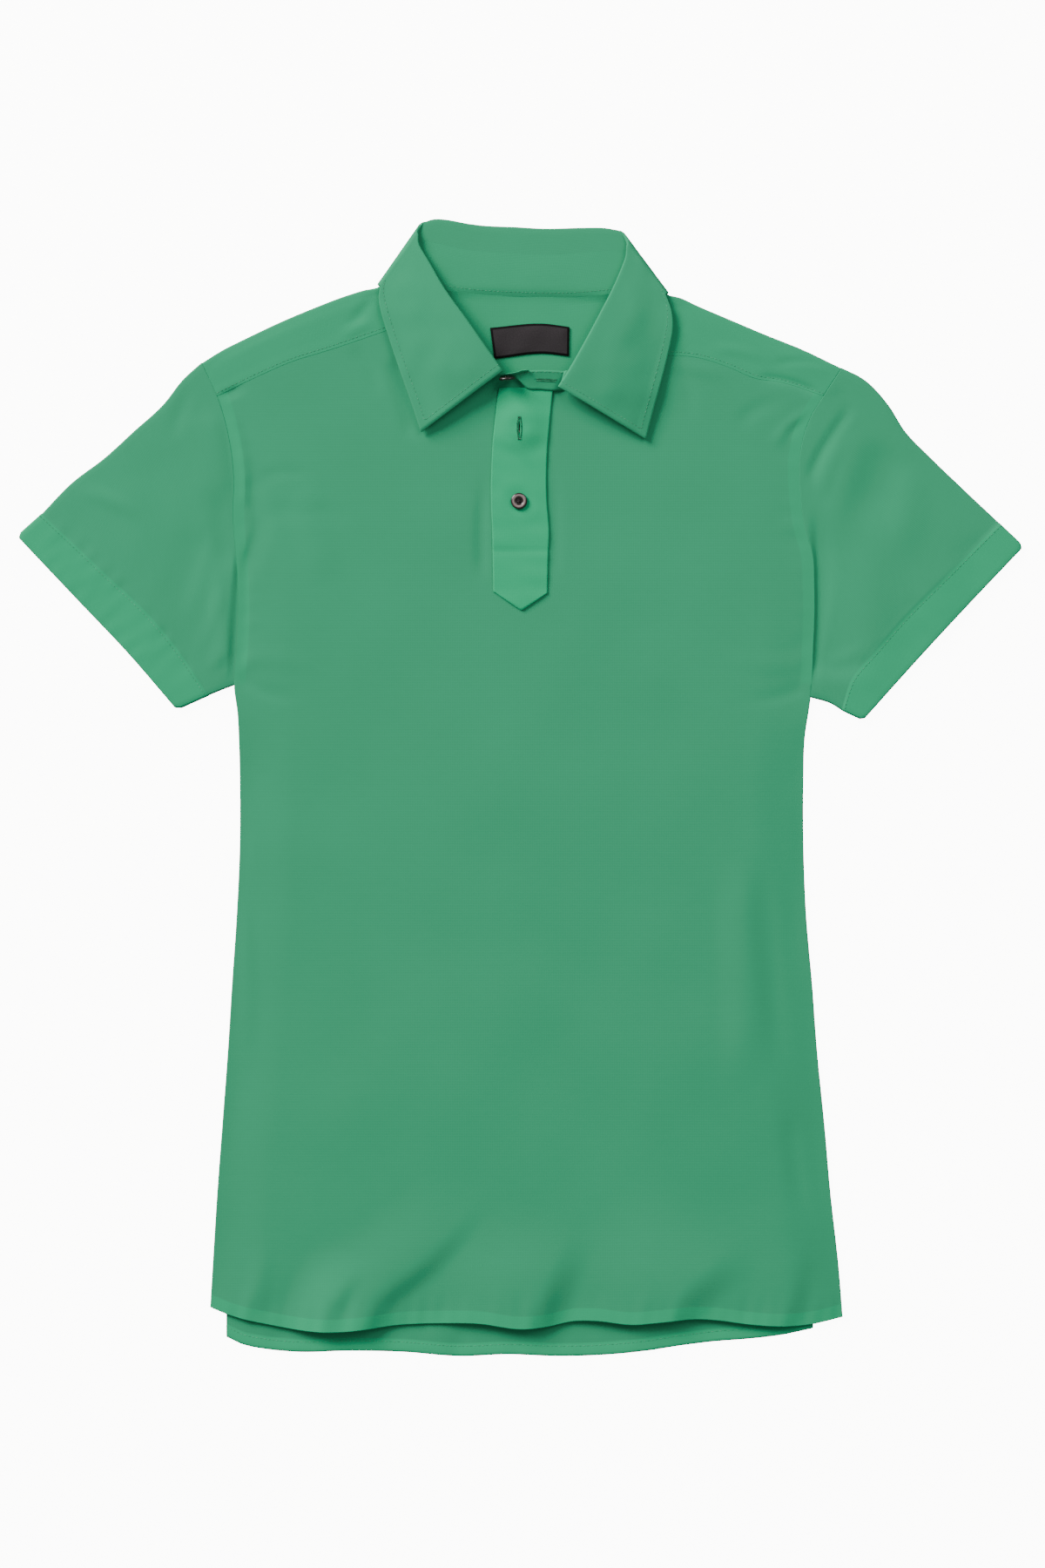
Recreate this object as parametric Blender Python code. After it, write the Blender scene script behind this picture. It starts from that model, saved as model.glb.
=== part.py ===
"""A men's short-sleeved polo shirt with a shirt collar, laid flat on its back.

Frame: +X to the shirt's own left sleeve, +Y towards the collar, +Z up, origin in the middle of
the base.  Every size and place below is in millimetres; meshes are made in metres.
The cloth lies in layers: back panel, sleeve undersides and the back of the collar leaf on the
surface, then the upper sides of the sleeves and the front panel, then placket and collar.
Each cloth piece is a sheet of points (the middle of its wall) that is thickened both ways.
"""
import math

import bmesh
import bpy
import numpy as np
from mathutils import Matrix, Vector

MM = 0.001

# ---- cloth ------------------------------------------------------------------------------------
WALL = 1.0                # thickness of every cloth wall
HALF = WALL / 2
GAP = 0.3                 # between pieces that meet at a seam or lie on each other
SEAM_STEP = 0.6           # the same gap measured across a slanted seam
FOLD_RADIUS = 1.2         # middle of the wall where a layer turns back over itself
FLOOR_LEVEL = HALF        # middle of a wall that lies on the surface
UPPER_LEVEL = FLOOR_LEVEL + 2 * FOLD_RADIUS
SIDE_SEAM_LEVEL = FLOOR_LEVEL + WALL + GAP
CROWN = 0.6               # how far the front stands higher inside its edges
CROWN_RUN = 40.0
HEM_RAISE = 0.5           # extra thickness of a turned hem
BAND_RAISE = 0.35         # extra thickness of a topstitched seam allowance
HEM_WIDTH = 9.0
CUFF_WIDTH = 25.0
BAND_WIDTH = 8.0
LEAF_STEP = 1.3           # the seam gap between stand and leaf, where both turn
ARMHOLE_STEP = 0.8        # the seam gap at the curved armhole
STEP_WIDTH = 0.8          # run of the step at the edge of a raised band

# ---- body outline: (y, x) along each side, hem to shoulder -------------------------------------
LEFT_EDGE = (
    (-388, -231.1), (-355, -229.1), (-303, -225.9), (-251, -222.0), (-199, -218.1), (-147, -214.8),
    (-95, -211.3), (-43, -209.0), (9, -209.0), (35, -209.6), (55, -210.6), (76, -213.2),
    (103, -211.3), (131, -210.3), (159, -211.0), (204, -214.2), (231, -213.5), (259, -216.8),
    (292, -225.9), (317, -237.6),
)
RIGHT_EDGE = (
    (-395, 240.2), (-355, 236.9), (-303, 231.1), (-251, 226.5), (-199, 221.3), (-147, 217.4),
    (-95, 212.9), (-43, 210.9), (9, 210.9), (35, 211.6), (67, 216.1), (103, 218.1), (150, 218.7),
    (175, 217.1), (192, 212.2), (220, 208.5), (256, 209.6), (276, 216.1), (292, 225.9), (313, 239.5),
)
UNDERARM_LEFT = 76.0
UNDERARM_RIGHT = 67.0
SHOULDER_LEFT = 316.6
SHOULDER_RIGHT = 312.7

# ---- hems: (x, y) of the lower edge -------------------------------------------------------------
FRONT_HEM = (
    (-231, -387.4), (-218, -392.6), (-189, -399.8), (-161, -404.3), (-136, -405.0), (-114, -403.0),
    (-91, -400.4), (-60, -399.1), (-32, -399.1), (2, -403.0), (18, -401.7), (43, -397.2),
    (56, -397.2), (84, -399.8), (104, -398.1), (128, -395.9), (151, -397.2), (167, -399.4),
    (217, -399.8), (240, -394.6),
)
BACK_HEM = (
    (-219, -409.5), (-206, -415.4), (-193, -418.0), (-167, -420.6), (-128, -419.9), (-89, -420.6),
    (-44, -423.8), (-11, -422.5), (28, -423.8), (67, -422.5), (93, -419.9), (119, -416.0),
    (145, -412.8), (171, -410.8), (197, -407.6), (218, -403.0),
)
BACK_INSET = (12.0, 22.0)     # left and right: how far the back's corners sit inside the front's
BACK_INSET_RUN = (60.0, -380.0)
BACK_YOKE_SEAM = 271.7
YOKE_MIDDLE = 70.0            # half the width between the yoke's two wings, at the back seam
SEAM_CORNER = 291.9           # where the front yoke seams meet the armholes

# ---- neck and front yoke seams: (x, y), left to right -------------------------------------------
YOKE_SEAM_LEFT = ((-225.9, 291.9), (-201.8, 303.5), (-170.6, 317.2), (-141.4, 326.3), (-105.0, 338.7),
                  (-82.5, 346.5))
NECK_LEFT = ((-82.5, 346.5), (-79.6, 342.4), (-65.8, 322.2), (-49.4, 308.6), (-34.0, 300.5),
             (-16.6, 296.3))
NECK_RIGHT = ((24.4, 295.8), (43.0, 296.5), (61.0, 301.5), (77.0, 313.0), (83.0, 321.0))
YOKE_SEAM_RIGHT = ((83.0, 321.0), (110.8, 321.8), (131.0, 320.5), (155.7, 313.0), (174.5, 305.0),
                   (194.0, 302.0), (225.9, 291.9))
NECK_SIDE_LEFT = ((-82.5, 346.5), (-91.4, 361.0), (-96.5, 370.5), (-97.8, 379.8))
NECK_SIDE_RIGHT = ((83.0, 321.0), (89.0, 332.0), (98.5, 351.0), (103.5, 364.0), (102.2, 373.0))
NECK_BACK = ((-97.8, 379.8), (-72.0, 374.0), (-45.0, 369.3), (0.0, 366.2), (45.0, 366.2),
             (75.0, 369.0), (102.2, 373.0))
SHOULDER_LINE_LEFT = ((-237.6, 316.6), (-222.6, 326.0), (-206.4, 334.1), (-180.4, 346.5),
                      (-154.4, 357.5), (-128.4, 367.3), (-115.4, 371.2), (-106.3, 372.9),
                      (-99.2, 379.0))
SHOULDER_LINE_RIGHT = ((239.5, 312.7), (209.6, 327.0), (183.6, 337.4), (157.6, 348.4),
                       (131.6, 359.5), (118.6, 365.4), (109.5, 367.6), (104.1, 373.1))

# ---- collar: stations from the front end (row 0) to the side of the neck (last row) --------------
# roll: crest of the fold; edge: outer edge of the leaf; fall: length from roll back to the stand's
# upper edge, and slide: how far that edge lies further up the shirt; level: height of the crest;
# tip: height of the outer edge
LEAF_LEFT = (
    # roll x,  roll y, edge x, edge y, fall, slide, level, tip
    (-13.3, 309.4, -73.8, 264.6, 4.6, 0.0, 12.6, 5.0),
    (-25.7, 327.0, -80.3, 284.7, 5.0, 0.0, 13.0, 5.1),
    (-39.3, 346.5, -86.8, 302.9, 6.0, 0.0, 12.2, 5.3),
    (-55.6, 369.2, -94.6, 325.7, 8.5, 0.0, 10.4, 5.5),
    (-67.3, 389.4, -102.4, 350.4, 12.0, 0.0, 8.2, 5.8),
    (-75.7, 405.6, -105.0, 363.4, 15.5, 0.0, 6.7, 6.0),
    (-67.3, 422.1, -100.0, 376.8, 18.6, 0.0, 6.1, 6.1),
)
LEAF_RIGHT = (
    (28.3, 297.8, 93.3, 259.4, 5.2, 9.0, 12.9, 5.0),
    (37.4, 312.0, 97.8, 276.9, 5.2, 4.0, 13.0, 5.1),
    (49.1, 332.8, 102.4, 293.8, 6.0, 0.0, 12.2, 5.3),
    (60.1, 353.6, 108.2, 315.9, 8.5, 0.0, 10.4, 5.5),
    (70.5, 374.4, 113.0, 338.7, 12.0, 0.0, 8.2, 5.8),
    (78.3, 395.2, 112.5, 353.6, 15.5, 0.0, 6.7, 6.0),
    (73.4, 413.0, 104.2, 370.4, 18.6, 0.0, 6.1, 6.1),
)
COLLAR_TOP = ((0.0, 0.0), (0.12, 1.9), (0.3, 0.3), (0.5, -1.6), (0.75, -0.9), (0.9, 0.4), (1.0, 0.0))
STAND_TOP_SAG = 1.0       # the stand's upper edge dips this much in the middle of the back
LEAF_RING = 2.8           # fold radius of the leaf at the sides of the neck
STAND_RING = 1.2          # fold radius of the stand inside it
RING_LEVEL = FLOOR_LEVEL + LEAF_RING
NECK_LIFT = RING_LEVEL - FOLD_RADIUS - FLOOR_LEVEL
NECK_LIFT_RUN = 7.0
EDGE_LINE = (372.3, -0.032)    # outer edge of the leaf behind the neck: y = first + second * x
ROLL_RADIUS_FRONT = 1.35
LEFT_END = ((-3.6, 296.9, -3.6, 308.1), (7.0, 297.3, 6.2, 311.5))     # base x, y and top x, y
LEFT_END_POWER = 2.0      # the button end starts flat and ends steep
RIGHT_END = ((13.0, 296.3, 17.0, 310.0), (0.5, 296.6, 3.5, 309.0))
RIGHT_END_ROUND = 3.6     # how far the buttonhole end is rounded out
RIGHT_END_LIFT = 0.3      # it lies this much higher on the button end, at each of its columns
LEFT_END_RISE = 0.8       # the button end stands this much above the rest of the stand
LEFT_END_INSET = 0.4      # its foot lies this far inside the neckline
RIGHT_END_DROP = 0.2
STAND_POWER = 1.15        # rise of the stand from its seam: 1 is straight
STAND_ROWS = 5
COUNT_FRONT = 9           # stations along each front edge of the collar
COUNT_BACK = 9            # spaces between stations behind the neck
RING_ANGLES = (0, 36, 72, 108, 144, 180)     # stations round the side of the neck, degrees
SEAM_RISE = 0.35          # the leaf's seam lies this much above the stand's
RIGHT_LEAF_STEP = 1.9     # at the right front end the leaf lies on the stand

# ---- placket ----------------------------------------------------------------------------------
NOTCH_LEFT, NOTCH_RIGHT, NOTCH_BOTTOM = -16.6, 17.9, 176.2
NOTCH_ROWS = 6                # rows of the front beside the cut-out
FRONT_BASE = -391.0           # upper edge of the front hem at the middle
PLACKET_EDGES = (
    # y, left x, right x
    (145.6, -19.8, 19.8), (175.0, -20.3, 20.5), (189.8, -20.6, 21.1), (214.5, -21.6, 19.4),
    (234.7, -21.4, 19.2), (255.0, -20.4, 20.0), (267.8, -19.2, 21.1), (295.2, -16.2, 24.0),
)
PLACKET_TIP = (1.0, 132.0)
PLACKET_LEVEL = WALL + GAP    # above the front's own level
SLIT_X, SLIT_LOW, SLIT_HIGH, SLIT_HALF = -0.3, 261.0, 277.5, 0.95
SLIT_EDGE_HALF = 0.5
BUMP_HEIGHT, BUMP_REACH, BUMP_FLAT = 3.2, 15.0, 6.6

# ---- buttons and label --------------------------------------------------------------------------
BUTTON_RADIUS = 6.1
BUTTON_THICK = 2.5
BUTTON_SIDES = 20
HOLE_RADIUS, HOLE_OFFSET = 0.75, 1.5
BUTTON_SECOND = (-1.0, 213.2)
BUTTON_FIRST = (-0.6, 269.3)
BUTTON_COLLAR = (-11.4, 302.4, 9.2)
BUTTON_COLLAR_TILT = (58.0, 6.0)      # degrees about X, then about Y
LABEL_TOP = ((-22.4, 342.6), (19.2, 345.5), (36.4, 343.2))
LABEL_BOTTOM = ((-19.2, 319.8), (18.5, 323.7), (36.1, 321.8))
LABEL_LEVEL = FLOOR_LEVEL + WALL + GAP

# ---- largest folds of the front: crest from (x0, y0) to (x1, y1) --------------------------------
FOLDS = (
    # x0, y0, x1, y1, half width, height
    (-175, -420, -122, -335, 17, 1.8),
    (-132, -425, -36, -280, 22, 3.2),
    (-20, -425, 18, -322, 27, 2.4),
    (88, -425, 118, -335, 28, 1.9),
    (164, -50, 168, -235, 24, 1.2),
    (-166, 225, -142, 150, 20, 1.0),
)
HEM_FOLDS_BELOW = -400        # folds that start below this run off the hem at full height

# ---- sleeves: (x, y) outlines -------------------------------------------------------------------
SLEEVES = {
    "sleeve_right": {
        "shoulder": ((-238.0, 316.9), (-251.2, 304.9), (-266.8, 285.4), (-288.3, 265.9),
                     (-309.7, 246.4), (-335.1, 226.9), (-356.9, 204.4)),
        "hem": ((-356.9, 204.4), (-328.6, 178.1), (-304.5, 155.4), (-280.5, 133.3),
                (-257.7, 106.6), (-232.0, 68.6)),
        "cuff": ((-375.4, 187.9), (-329.2, 139.1), (-292.2, 100.1), (-255.8, 57.9)),
        "underarm": ((-213.6, 76.0), (-226.5, 70.9), (-232.0, 68.6)),
        "side": -1,
        "top_y": SHOULDER_LEFT,
        "low_y": UNDERARM_LEFT,
    },
    "sleeve_left": {
        "shoulder": ((239.9, 313.0), (255.8, 304.9), (274.6, 285.4), (287.0, 265.9),
                     (305.8, 246.4), (326.0, 226.9), (357.2, 197.4)),
        "hem": ((357.2, 197.4), (318.8, 159.3), (281.8, 122.2), (262.3, 99.5),
                (247.3, 81.9), (239.5, 57.4)),
        "cuff": ((375.4, 180.1), (336.4, 139.1), (309.1, 109.9), (255.1, 50.1)),
        "underarm": ((216.2, 67.0), (232.4, 61.8), (239.5, 57.4)),
        "side": 1,
        "top_y": SHOULDER_RIGHT,
        "low_y": UNDERARM_RIGHT,
    },
}
SLEEVE_CROWN = 1.0        # how far the upper side stands higher in its middle
CUFF_CROWN = 0.4          # share of it left at the cuff
SLEEVE_LINES = 14         # points across each layer of a sleeve
SLEEVE_FOLDS = (
    # along the sleeve 0..1, from shoulder fold to underarm 0..1, half width, height
    (0.25, 0.35, 0.16, 0.7),
    (0.62, 0.62, 0.14, 0.6),
)

COLOURS = {
    "cloth": (0.076, 0.330, 0.182, 1.0),
    "label": (0.030, 0.027, 0.029, 1.0),
    "button": (0.085, 0.060, 0.058, 1.0),
}


def smooth(value):
    """Ease from 0 to 1 as value goes from 0 to 1."""
    value = min(1.0, max(0.0, value))
    return value * value * (3 - 2 * value)


def blend(start, end, share):
    """The value, or the point, that lies share of the way from start to end."""
    return start + (end - start) * share


def hermite(keys, values, key):
    """Smooth curve through values at rising keys."""
    keys = np.asarray(keys, float)
    values = np.asarray(values, float)
    key = min(max(key, keys[0]), keys[-1])
    slopes = np.gradient(values, keys, axis=0)
    row = int(min(max(np.searchsorted(keys, key) - 1, 0), len(keys) - 2))
    run = keys[row + 1] - keys[row]
    t = (key - keys[row]) / run
    first = (1 + 2 * t) * (1 - t) ** 2 * values[row] + t * t * (3 - 2 * t) * values[row + 1]
    return first + run * (t * (1 - t) ** 2 * slopes[row] - t * t * (1 - t) * slopes[row + 1])


def along(points, share):
    """Point at a share of the length of a smooth curve through points."""
    points = np.asarray(points, float)
    steps = np.linalg.norm(np.diff(points, axis=0), axis=1)
    lengths = np.concatenate(([0.0], np.cumsum(steps)))
    return hermite(lengths / lengths[-1], points, share)


def column(table, key, index=1):
    """Value of one column of a table whose first column rises."""
    return float(hermite([row[0] for row in table], [row[index] for row in table], key))


def left_edge(y):
    """The shirt body's left side and armhole."""
    return column(LEFT_EDGE, y)


def right_edge(y):
    """The shirt body's right side and armhole."""
    return column(RIGHT_EDGE, y)


def neck_lift(x, y):
    """Rise of everything that lies over the back of the collar leaf."""
    edge = EDGE_LINE[0] + EDGE_LINE[1] * x
    return NECK_LIFT * smooth((y - edge + NECK_LIFT_RUN + 1) / NECK_LIFT_RUN)


def fold_height(x, y):
    """Sum of the soft ridges at a point of the front."""
    total = 0.0
    for x0, y0, x1, y1, width, height in FOLDS:
        run = Vector((x1 - x0, y1 - y0))
        share = Vector((x - x0, y - y0)).dot(run) / run.length_squared
        near = Vector((x0, y0)) + run * min(1.0, max(0.0, share))
        away = (Vector((x, y)) - near).length
        fade = 1.0 if y0 < HEM_FOLDS_BELOW else smooth(share * 4)
        if away < width:
            crest = 0.5 + 0.5 * math.cos(math.pi * away / width)
            total += height * fade * smooth((1 - share) * 3) * crest
    return total


def upper_level(x, y):
    """Height of the middle of the front layer's wall."""
    inside = min(x - left_edge(y), right_edge(y) - x)
    rim = blend(SIDE_SEAM_LEVEL, UPPER_LEVEL, smooth((y - 5) / 55))
    level = rim + (UPPER_LEVEL + CROWN - rim) * smooth(inside / CROWN_RUN)
    return level + fold_height(x, y) * smooth(inside / 12) + neck_lift(x, y)


def material(name, colour, roughness):
    """A plain Principled material."""
    made = bpy.data.materials.new(name)
    made.use_nodes = True
    shader = made.node_tree.nodes["Principled BSDF"]
    shader.inputs["Base Color"].default_value = colour
    shader.inputs["Roughness"].default_value = roughness
    shader.inputs["Metallic"].default_value = 0.0
    made.diffuse_color = colour
    return made


class Sheet:
    """Points in the middle of a cloth wall, joined by four-sided faces."""

    def __init__(self, name):
        self.name = name
        self.points = []
        self.raised = []
        self.faces = []

    def grid(self, rows, raised=None, skip=(), closed=False):
        """Add a grid of points, rows[i][j]; closed joins the last j to the first.

        raised[i][j] is extra thickness on the outer side; skip lists cells that stay open.
        """
        start = len(self.points)
        wide = len(rows[0])
        for i, row in enumerate(rows):
            for j, point in enumerate(row):
                self.points.append(tuple(point))
                self.raised.append(raised[i][j] if raised else 0.0)
        for i in range(len(rows) - 1):
            for j in range(wide if closed else wide - 1):
                if (i, j) in skip:
                    continue
                after = (j + 1) % wide
                first = start + i * wide
                second = first + wide
                self.faces.append((first + j, second + j, second + after, first + after))

    def build(self, finish, up, thickness=WALL):
        """Thicken the sheet both ways and make its object.

        up is the index of a point whose outer side faces upwards.
        """
        plan = bmesh.new()
        spots = [plan.verts.new(point) for point in self.points]
        for face in self.faces:
            plan.faces.new([spots[k] for k in face])
        plan.normal_update()
        flip = spots[up].normal.z < 0
        solid = bmesh.new()
        used = [bool(spot.link_faces) for spot in spots]
        outer, inner = [], []
        for k, spot in enumerate(spots):
            outward = -spot.normal if flip else spot.normal
            here = Vector(self.points[k])
            outer.append(solid.verts.new((here + outward * (thickness / 2 + self.raised[k])) * MM)
                         if used[k] else None)
            inner.append(solid.verts.new((here - outward * thickness / 2) * MM) if used[k] else None)
        for face in self.faces:
            face = tuple(reversed(face)) if flip else face
            solid.faces.new([outer[k] for k in face])
            solid.faces.new([inner[k] for k in reversed(face)])
        plan.edges.ensure_lookup_table()
        plan.verts.index_update()
        for edge in plan.edges:
            if len(edge.link_faces) != 1:
                continue
            loop = edge.link_loops[0]
            a, b = loop.vert.index, loop.link_loop_next.vert.index
            if flip:
                a, b = b, a
            solid.faces.new((outer[b], outer[a], inner[a], inner[b]))
        plan.free()
        mesh = bpy.data.meshes.new(self.name)
        solid.to_mesh(mesh)
        solid.free()
        mesh.materials.append(finish)
        mesh.shade_smooth()
        mesh.set_sharp_from_angle(angle=math.radians(40))
        made = bpy.data.objects.new(self.name, mesh)
        bpy.context.collection.objects.link(made)
        return made


def shares(count):
    """Even shares from 0 to 1."""
    return [k / count for k in range(count + 1)]


# ---- back ----------------------------------------------------------------------------------------
def build_back(finish):
    """The back panel, flat on the surface, with a turned hem on its inner side."""
    top = BACK_YOKE_SEAM - GAP
    low = [0.0, HEM_WIDTH, HEM_WIDTH + STEP_WIDTH]
    rows, raised = [], []
    for u in shares(20):
        rows.append([])
        raised.append([])
        hem_x = blend(BACK_HEM[0][0], BACK_HEM[-1][0], u)
        bottom = column(BACK_HEM, hem_x)
        heights = [bottom + step for step in low]
        base = bottom + low[-1]
        heights += [blend(base, top, 0.68 * v) for v in shares(6)[1:]]
        heights += [blend(base, top, 0.68 + 0.32 * v) for v in shares(12)[1:]]
        for k, y in enumerate(heights):
            tuck = smooth((BACK_INSET_RUN[0] - y) / (BACK_INSET_RUN[0] - BACK_INSET_RUN[1]))
            left = left_edge(y) + BACK_INSET[0] * tuck
            right = right_edge(y) - BACK_INSET[1] * tuck
            rows[-1].append((blend(left, right, u), y, FLOOR_LEVEL))
            raised[-1].append(HEM_RAISE if k < 2 else 0.0)
    sheet = Sheet("back")
    sheet.grid(rows, raised)
    return sheet.build(finish, up=0)


# ---- front ---------------------------------------------------------------------------------------
def front_top(x):
    """Upper edge of the front panel: yoke seams, neckline and the top of the placket cut-out."""
    for part in (YOKE_SEAM_LEFT, NECK_LEFT, NECK_RIGHT, YOKE_SEAM_RIGHT):
        if part[0][0] <= x <= part[-1][0]:
            return column(part, x)
    if NECK_LEFT[-1][0] < x < NECK_RIGHT[0][0]:
        return NECK_LEFT[-1][1]
    return SEAM_CORNER


def front_columns():
    """Rules that give x at a height for each column of the front, left to right."""
    steps = (0.0, BAND_WIDTH, BAND_WIDTH + STEP_WIDTH)
    inner_left, inner_right = YOKE_SEAM_LEFT[-1][0], YOKE_SEAM_RIGHT[0][0]
    rules = [lambda y, s=s: left_edge(y) + s for s in steps]
    rules += [lambda y, f=f: blend(left_edge(y) + steps[-1], inner_left, f) for f in shares(6)[1:]]
    rules += [lambda y, f=f: blend(inner_left, NOTCH_LEFT, f) for f in shares(5)[1:]]
    rules += [lambda y: (NOTCH_LEFT + NOTCH_RIGHT) / 2, lambda y: NOTCH_RIGHT]
    rules += [lambda y, f=f: blend(NOTCH_RIGHT, inner_right, f) for f in shares(5)[1:]]
    rules += [lambda y, f=f: blend(inner_right, right_edge(y) - steps[-1], f) for f in shares(6)[1:]]
    rules += [lambda y, s=s: right_edge(y) - s for s in reversed(steps[:-1])]
    return rules


def build_front(finish):
    """The front panel with its armhole bands, turned hem, folds and placket cut-out."""
    rules = front_columns()
    notch = [k for k, rule in enumerate(rules) if NOTCH_LEFT <= rule(0) <= NOTCH_RIGHT]
    notch_share = (NOTCH_BOTTOM - FRONT_BASE) / (NECK_LEFT[-1][1] - FRONT_BASE)
    stages = ((0.0, 0.2, 8), (0.2, 0.6, 5), (0.6, notch_share, 5), (notch_share, 1.0, NOTCH_ROWS))
    low_part = [blend(start, end, k / count) for start, end, count in stages
                for k in range(1, count + 1)]
    rows, raised = [], []
    for rule in rules:
        top = NECK_LEFT[-1][1]
        for _ in range(6):
            top = front_top(rule(top))
        top -= SEAM_STEP
        bottom = FRONT_BASE
        for _ in range(4):
            bottom = column(FRONT_HEM, rule(bottom))
        base = bottom + HEM_WIDTH + STEP_WIDTH
        heights = [bottom, bottom + HEM_WIDTH, base] + [blend(base, top, v) for v in low_part]
        rows.append([(rule(y), y, upper_level(rule(y), y)) for y in heights])
        line = []
        for k, y in enumerate(heights):
            edge = min(rule(y) - left_edge(y), right_edge(y) - rule(y))
            banded = y > UNDERARM_LEFT + 4 and edge < BAND_WIDTH + 0.1
            line.append(HEM_RAISE if k < 2 else BAND_RAISE if banded else 0.0)
        raised.append(line)
    last = len(rows[0]) - 1
    skip = {(i, j) for i in notch[:-1] for j in range(last - NOTCH_ROWS, last)}
    sheet = Sheet("front")
    sheet.grid(rows, raised, skip)
    return sheet.build(finish, up=5)


# ---- yoke ----------------------------------------------------------------------------------------
def inward(line, share, reach):
    """Point on a shoulder line moved into the shirt, and the outward direction there."""
    here = along(line, share)
    ahead = along(line, min(1.0, share + 0.02)) - along(line, max(0.0, share - 0.02))
    normal = np.array((-ahead[1], ahead[0])) / np.linalg.norm(ahead)
    if normal[1] < 0:
        normal = -normal
    return here - normal * reach, normal


def folded_column(back_points, fold, normal, front_points):
    """One column of points from the back, round the shoulder fold, to the front seam."""
    base = fold[0], fold[1]
    low = FLOOR_LEVEL + neck_lift(*base)
    points = [(x, y, FLOOR_LEVEL + neck_lift(x, y)) for x, y in back_points]
    for degrees in (0, 45, 90, 135, 180):
        turn = math.radians(degrees)
        out = FOLD_RADIUS * math.sin(turn)
        height = low + FOLD_RADIUS * (1 - math.cos(turn))
        points.append((base[0] + normal[0] * out, base[1] + normal[1] * out, height))
    return points + [(x, y, upper_level(x, y)) for x, y in front_points]


def yoke_wing(shoulder, seam, side_edge, neck_side, sign):
    """Columns of one half of the yoke, from the armhole to the neck."""
    columns = []
    count = 9
    reach = FOLD_RADIUS + HALF
    for u in shares(count):
        fold, normal = inward(shoulder, 0.008 + 0.984 * u, reach)
        seam_x = blend(side_edge(SEAM_CORNER), neck_side[0][0], u)
        seam_point = np.array((seam_x, column(seam, seam_x)))
        base_x = blend(side_edge(BACK_YOKE_SEAM), sign * YOKE_MIDDLE, u)
        back_points, front_points = [], []
        for v in shares(6)[:-1]:
            x = blend(base_x, fold[0], v)
            y = blend(BACK_YOKE_SEAM, fold[1], v)
            bow = (side_edge(y) - blend(side_edge(BACK_YOKE_SEAM), fold[0], v)) * (1 - u) ** 3
            back_points.append((x + bow if u == 0 else x, y))
        for v in shares(4)[1:]:
            point = blend(fold, seam_point, v)
            if u == 1:
                point = along(neck_side[::-1], v)
            front_points.append((point[0], point[1]))
        columns.append(folded_column(back_points, fold, normal, front_points))
    return columns


def build_yoke(finish):
    """The yoke: flat across the back, folded over both shoulders to the front seams."""
    left = yoke_wing(SHOULDER_LINE_LEFT, YOKE_SEAM_LEFT, left_edge, NECK_SIDE_LEFT, -1)
    right = yoke_wing(SHOULDER_LINE_RIGHT, YOKE_SEAM_RIGHT, right_edge, NECK_SIDE_RIGHT, 1)
    wide = len(left[0])
    back_rows = 6
    middle = []
    start, end = left[-1][back_rows], right[-1][back_rows]
    for u in shares(9)[1:-1]:
        neck_x = blend(start[0], end[0], u)
        neck_y = column(NECK_BACK, neck_x)
        line = []
        for v in shares(back_rows):
            x = blend(blend(-YOKE_MIDDLE, YOKE_MIDDLE, u), neck_x, v)
            y = blend(BACK_YOKE_SEAM, neck_y, v)
            line.append((x, y, FLOOR_LEVEL + neck_lift(x, y)))
        middle.append(line + [line[-1]] * (wide - len(line)))
    columns = left + middle + right[::-1]
    first_open, last_open = len(left) - 1, len(left) + len(middle)
    skip = {(i, j) for i in range(first_open, last_open) for j in range(back_rows, wide - 1)}
    raised = [[BAND_RAISE if j == wide - 1 else 0.0 for j in range(wide)] for _ in columns]
    sheet = Sheet("yoke")
    sheet.grid(columns, raised, skip)
    return sheet.build(finish, up=wide - 2)


# ---- sleeves -------------------------------------------------------------------------------------
def coons(first, last, start, end, s, t):
    """Point of a patch between two curves over t (first, last) and two over s (start, end)."""
    corner = ((1 - s) * (1 - t) * along(first, 0.0) + (1 - s) * t * along(first, 1.0)
              + s * (1 - t) * along(last, 0.0) + s * t * along(last, 1.0))
    return ((1 - s) * along(first, t) + s * along(last, t)
            + (1 - t) * along(start, s) + t * along(end, s) - corner)


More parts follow.
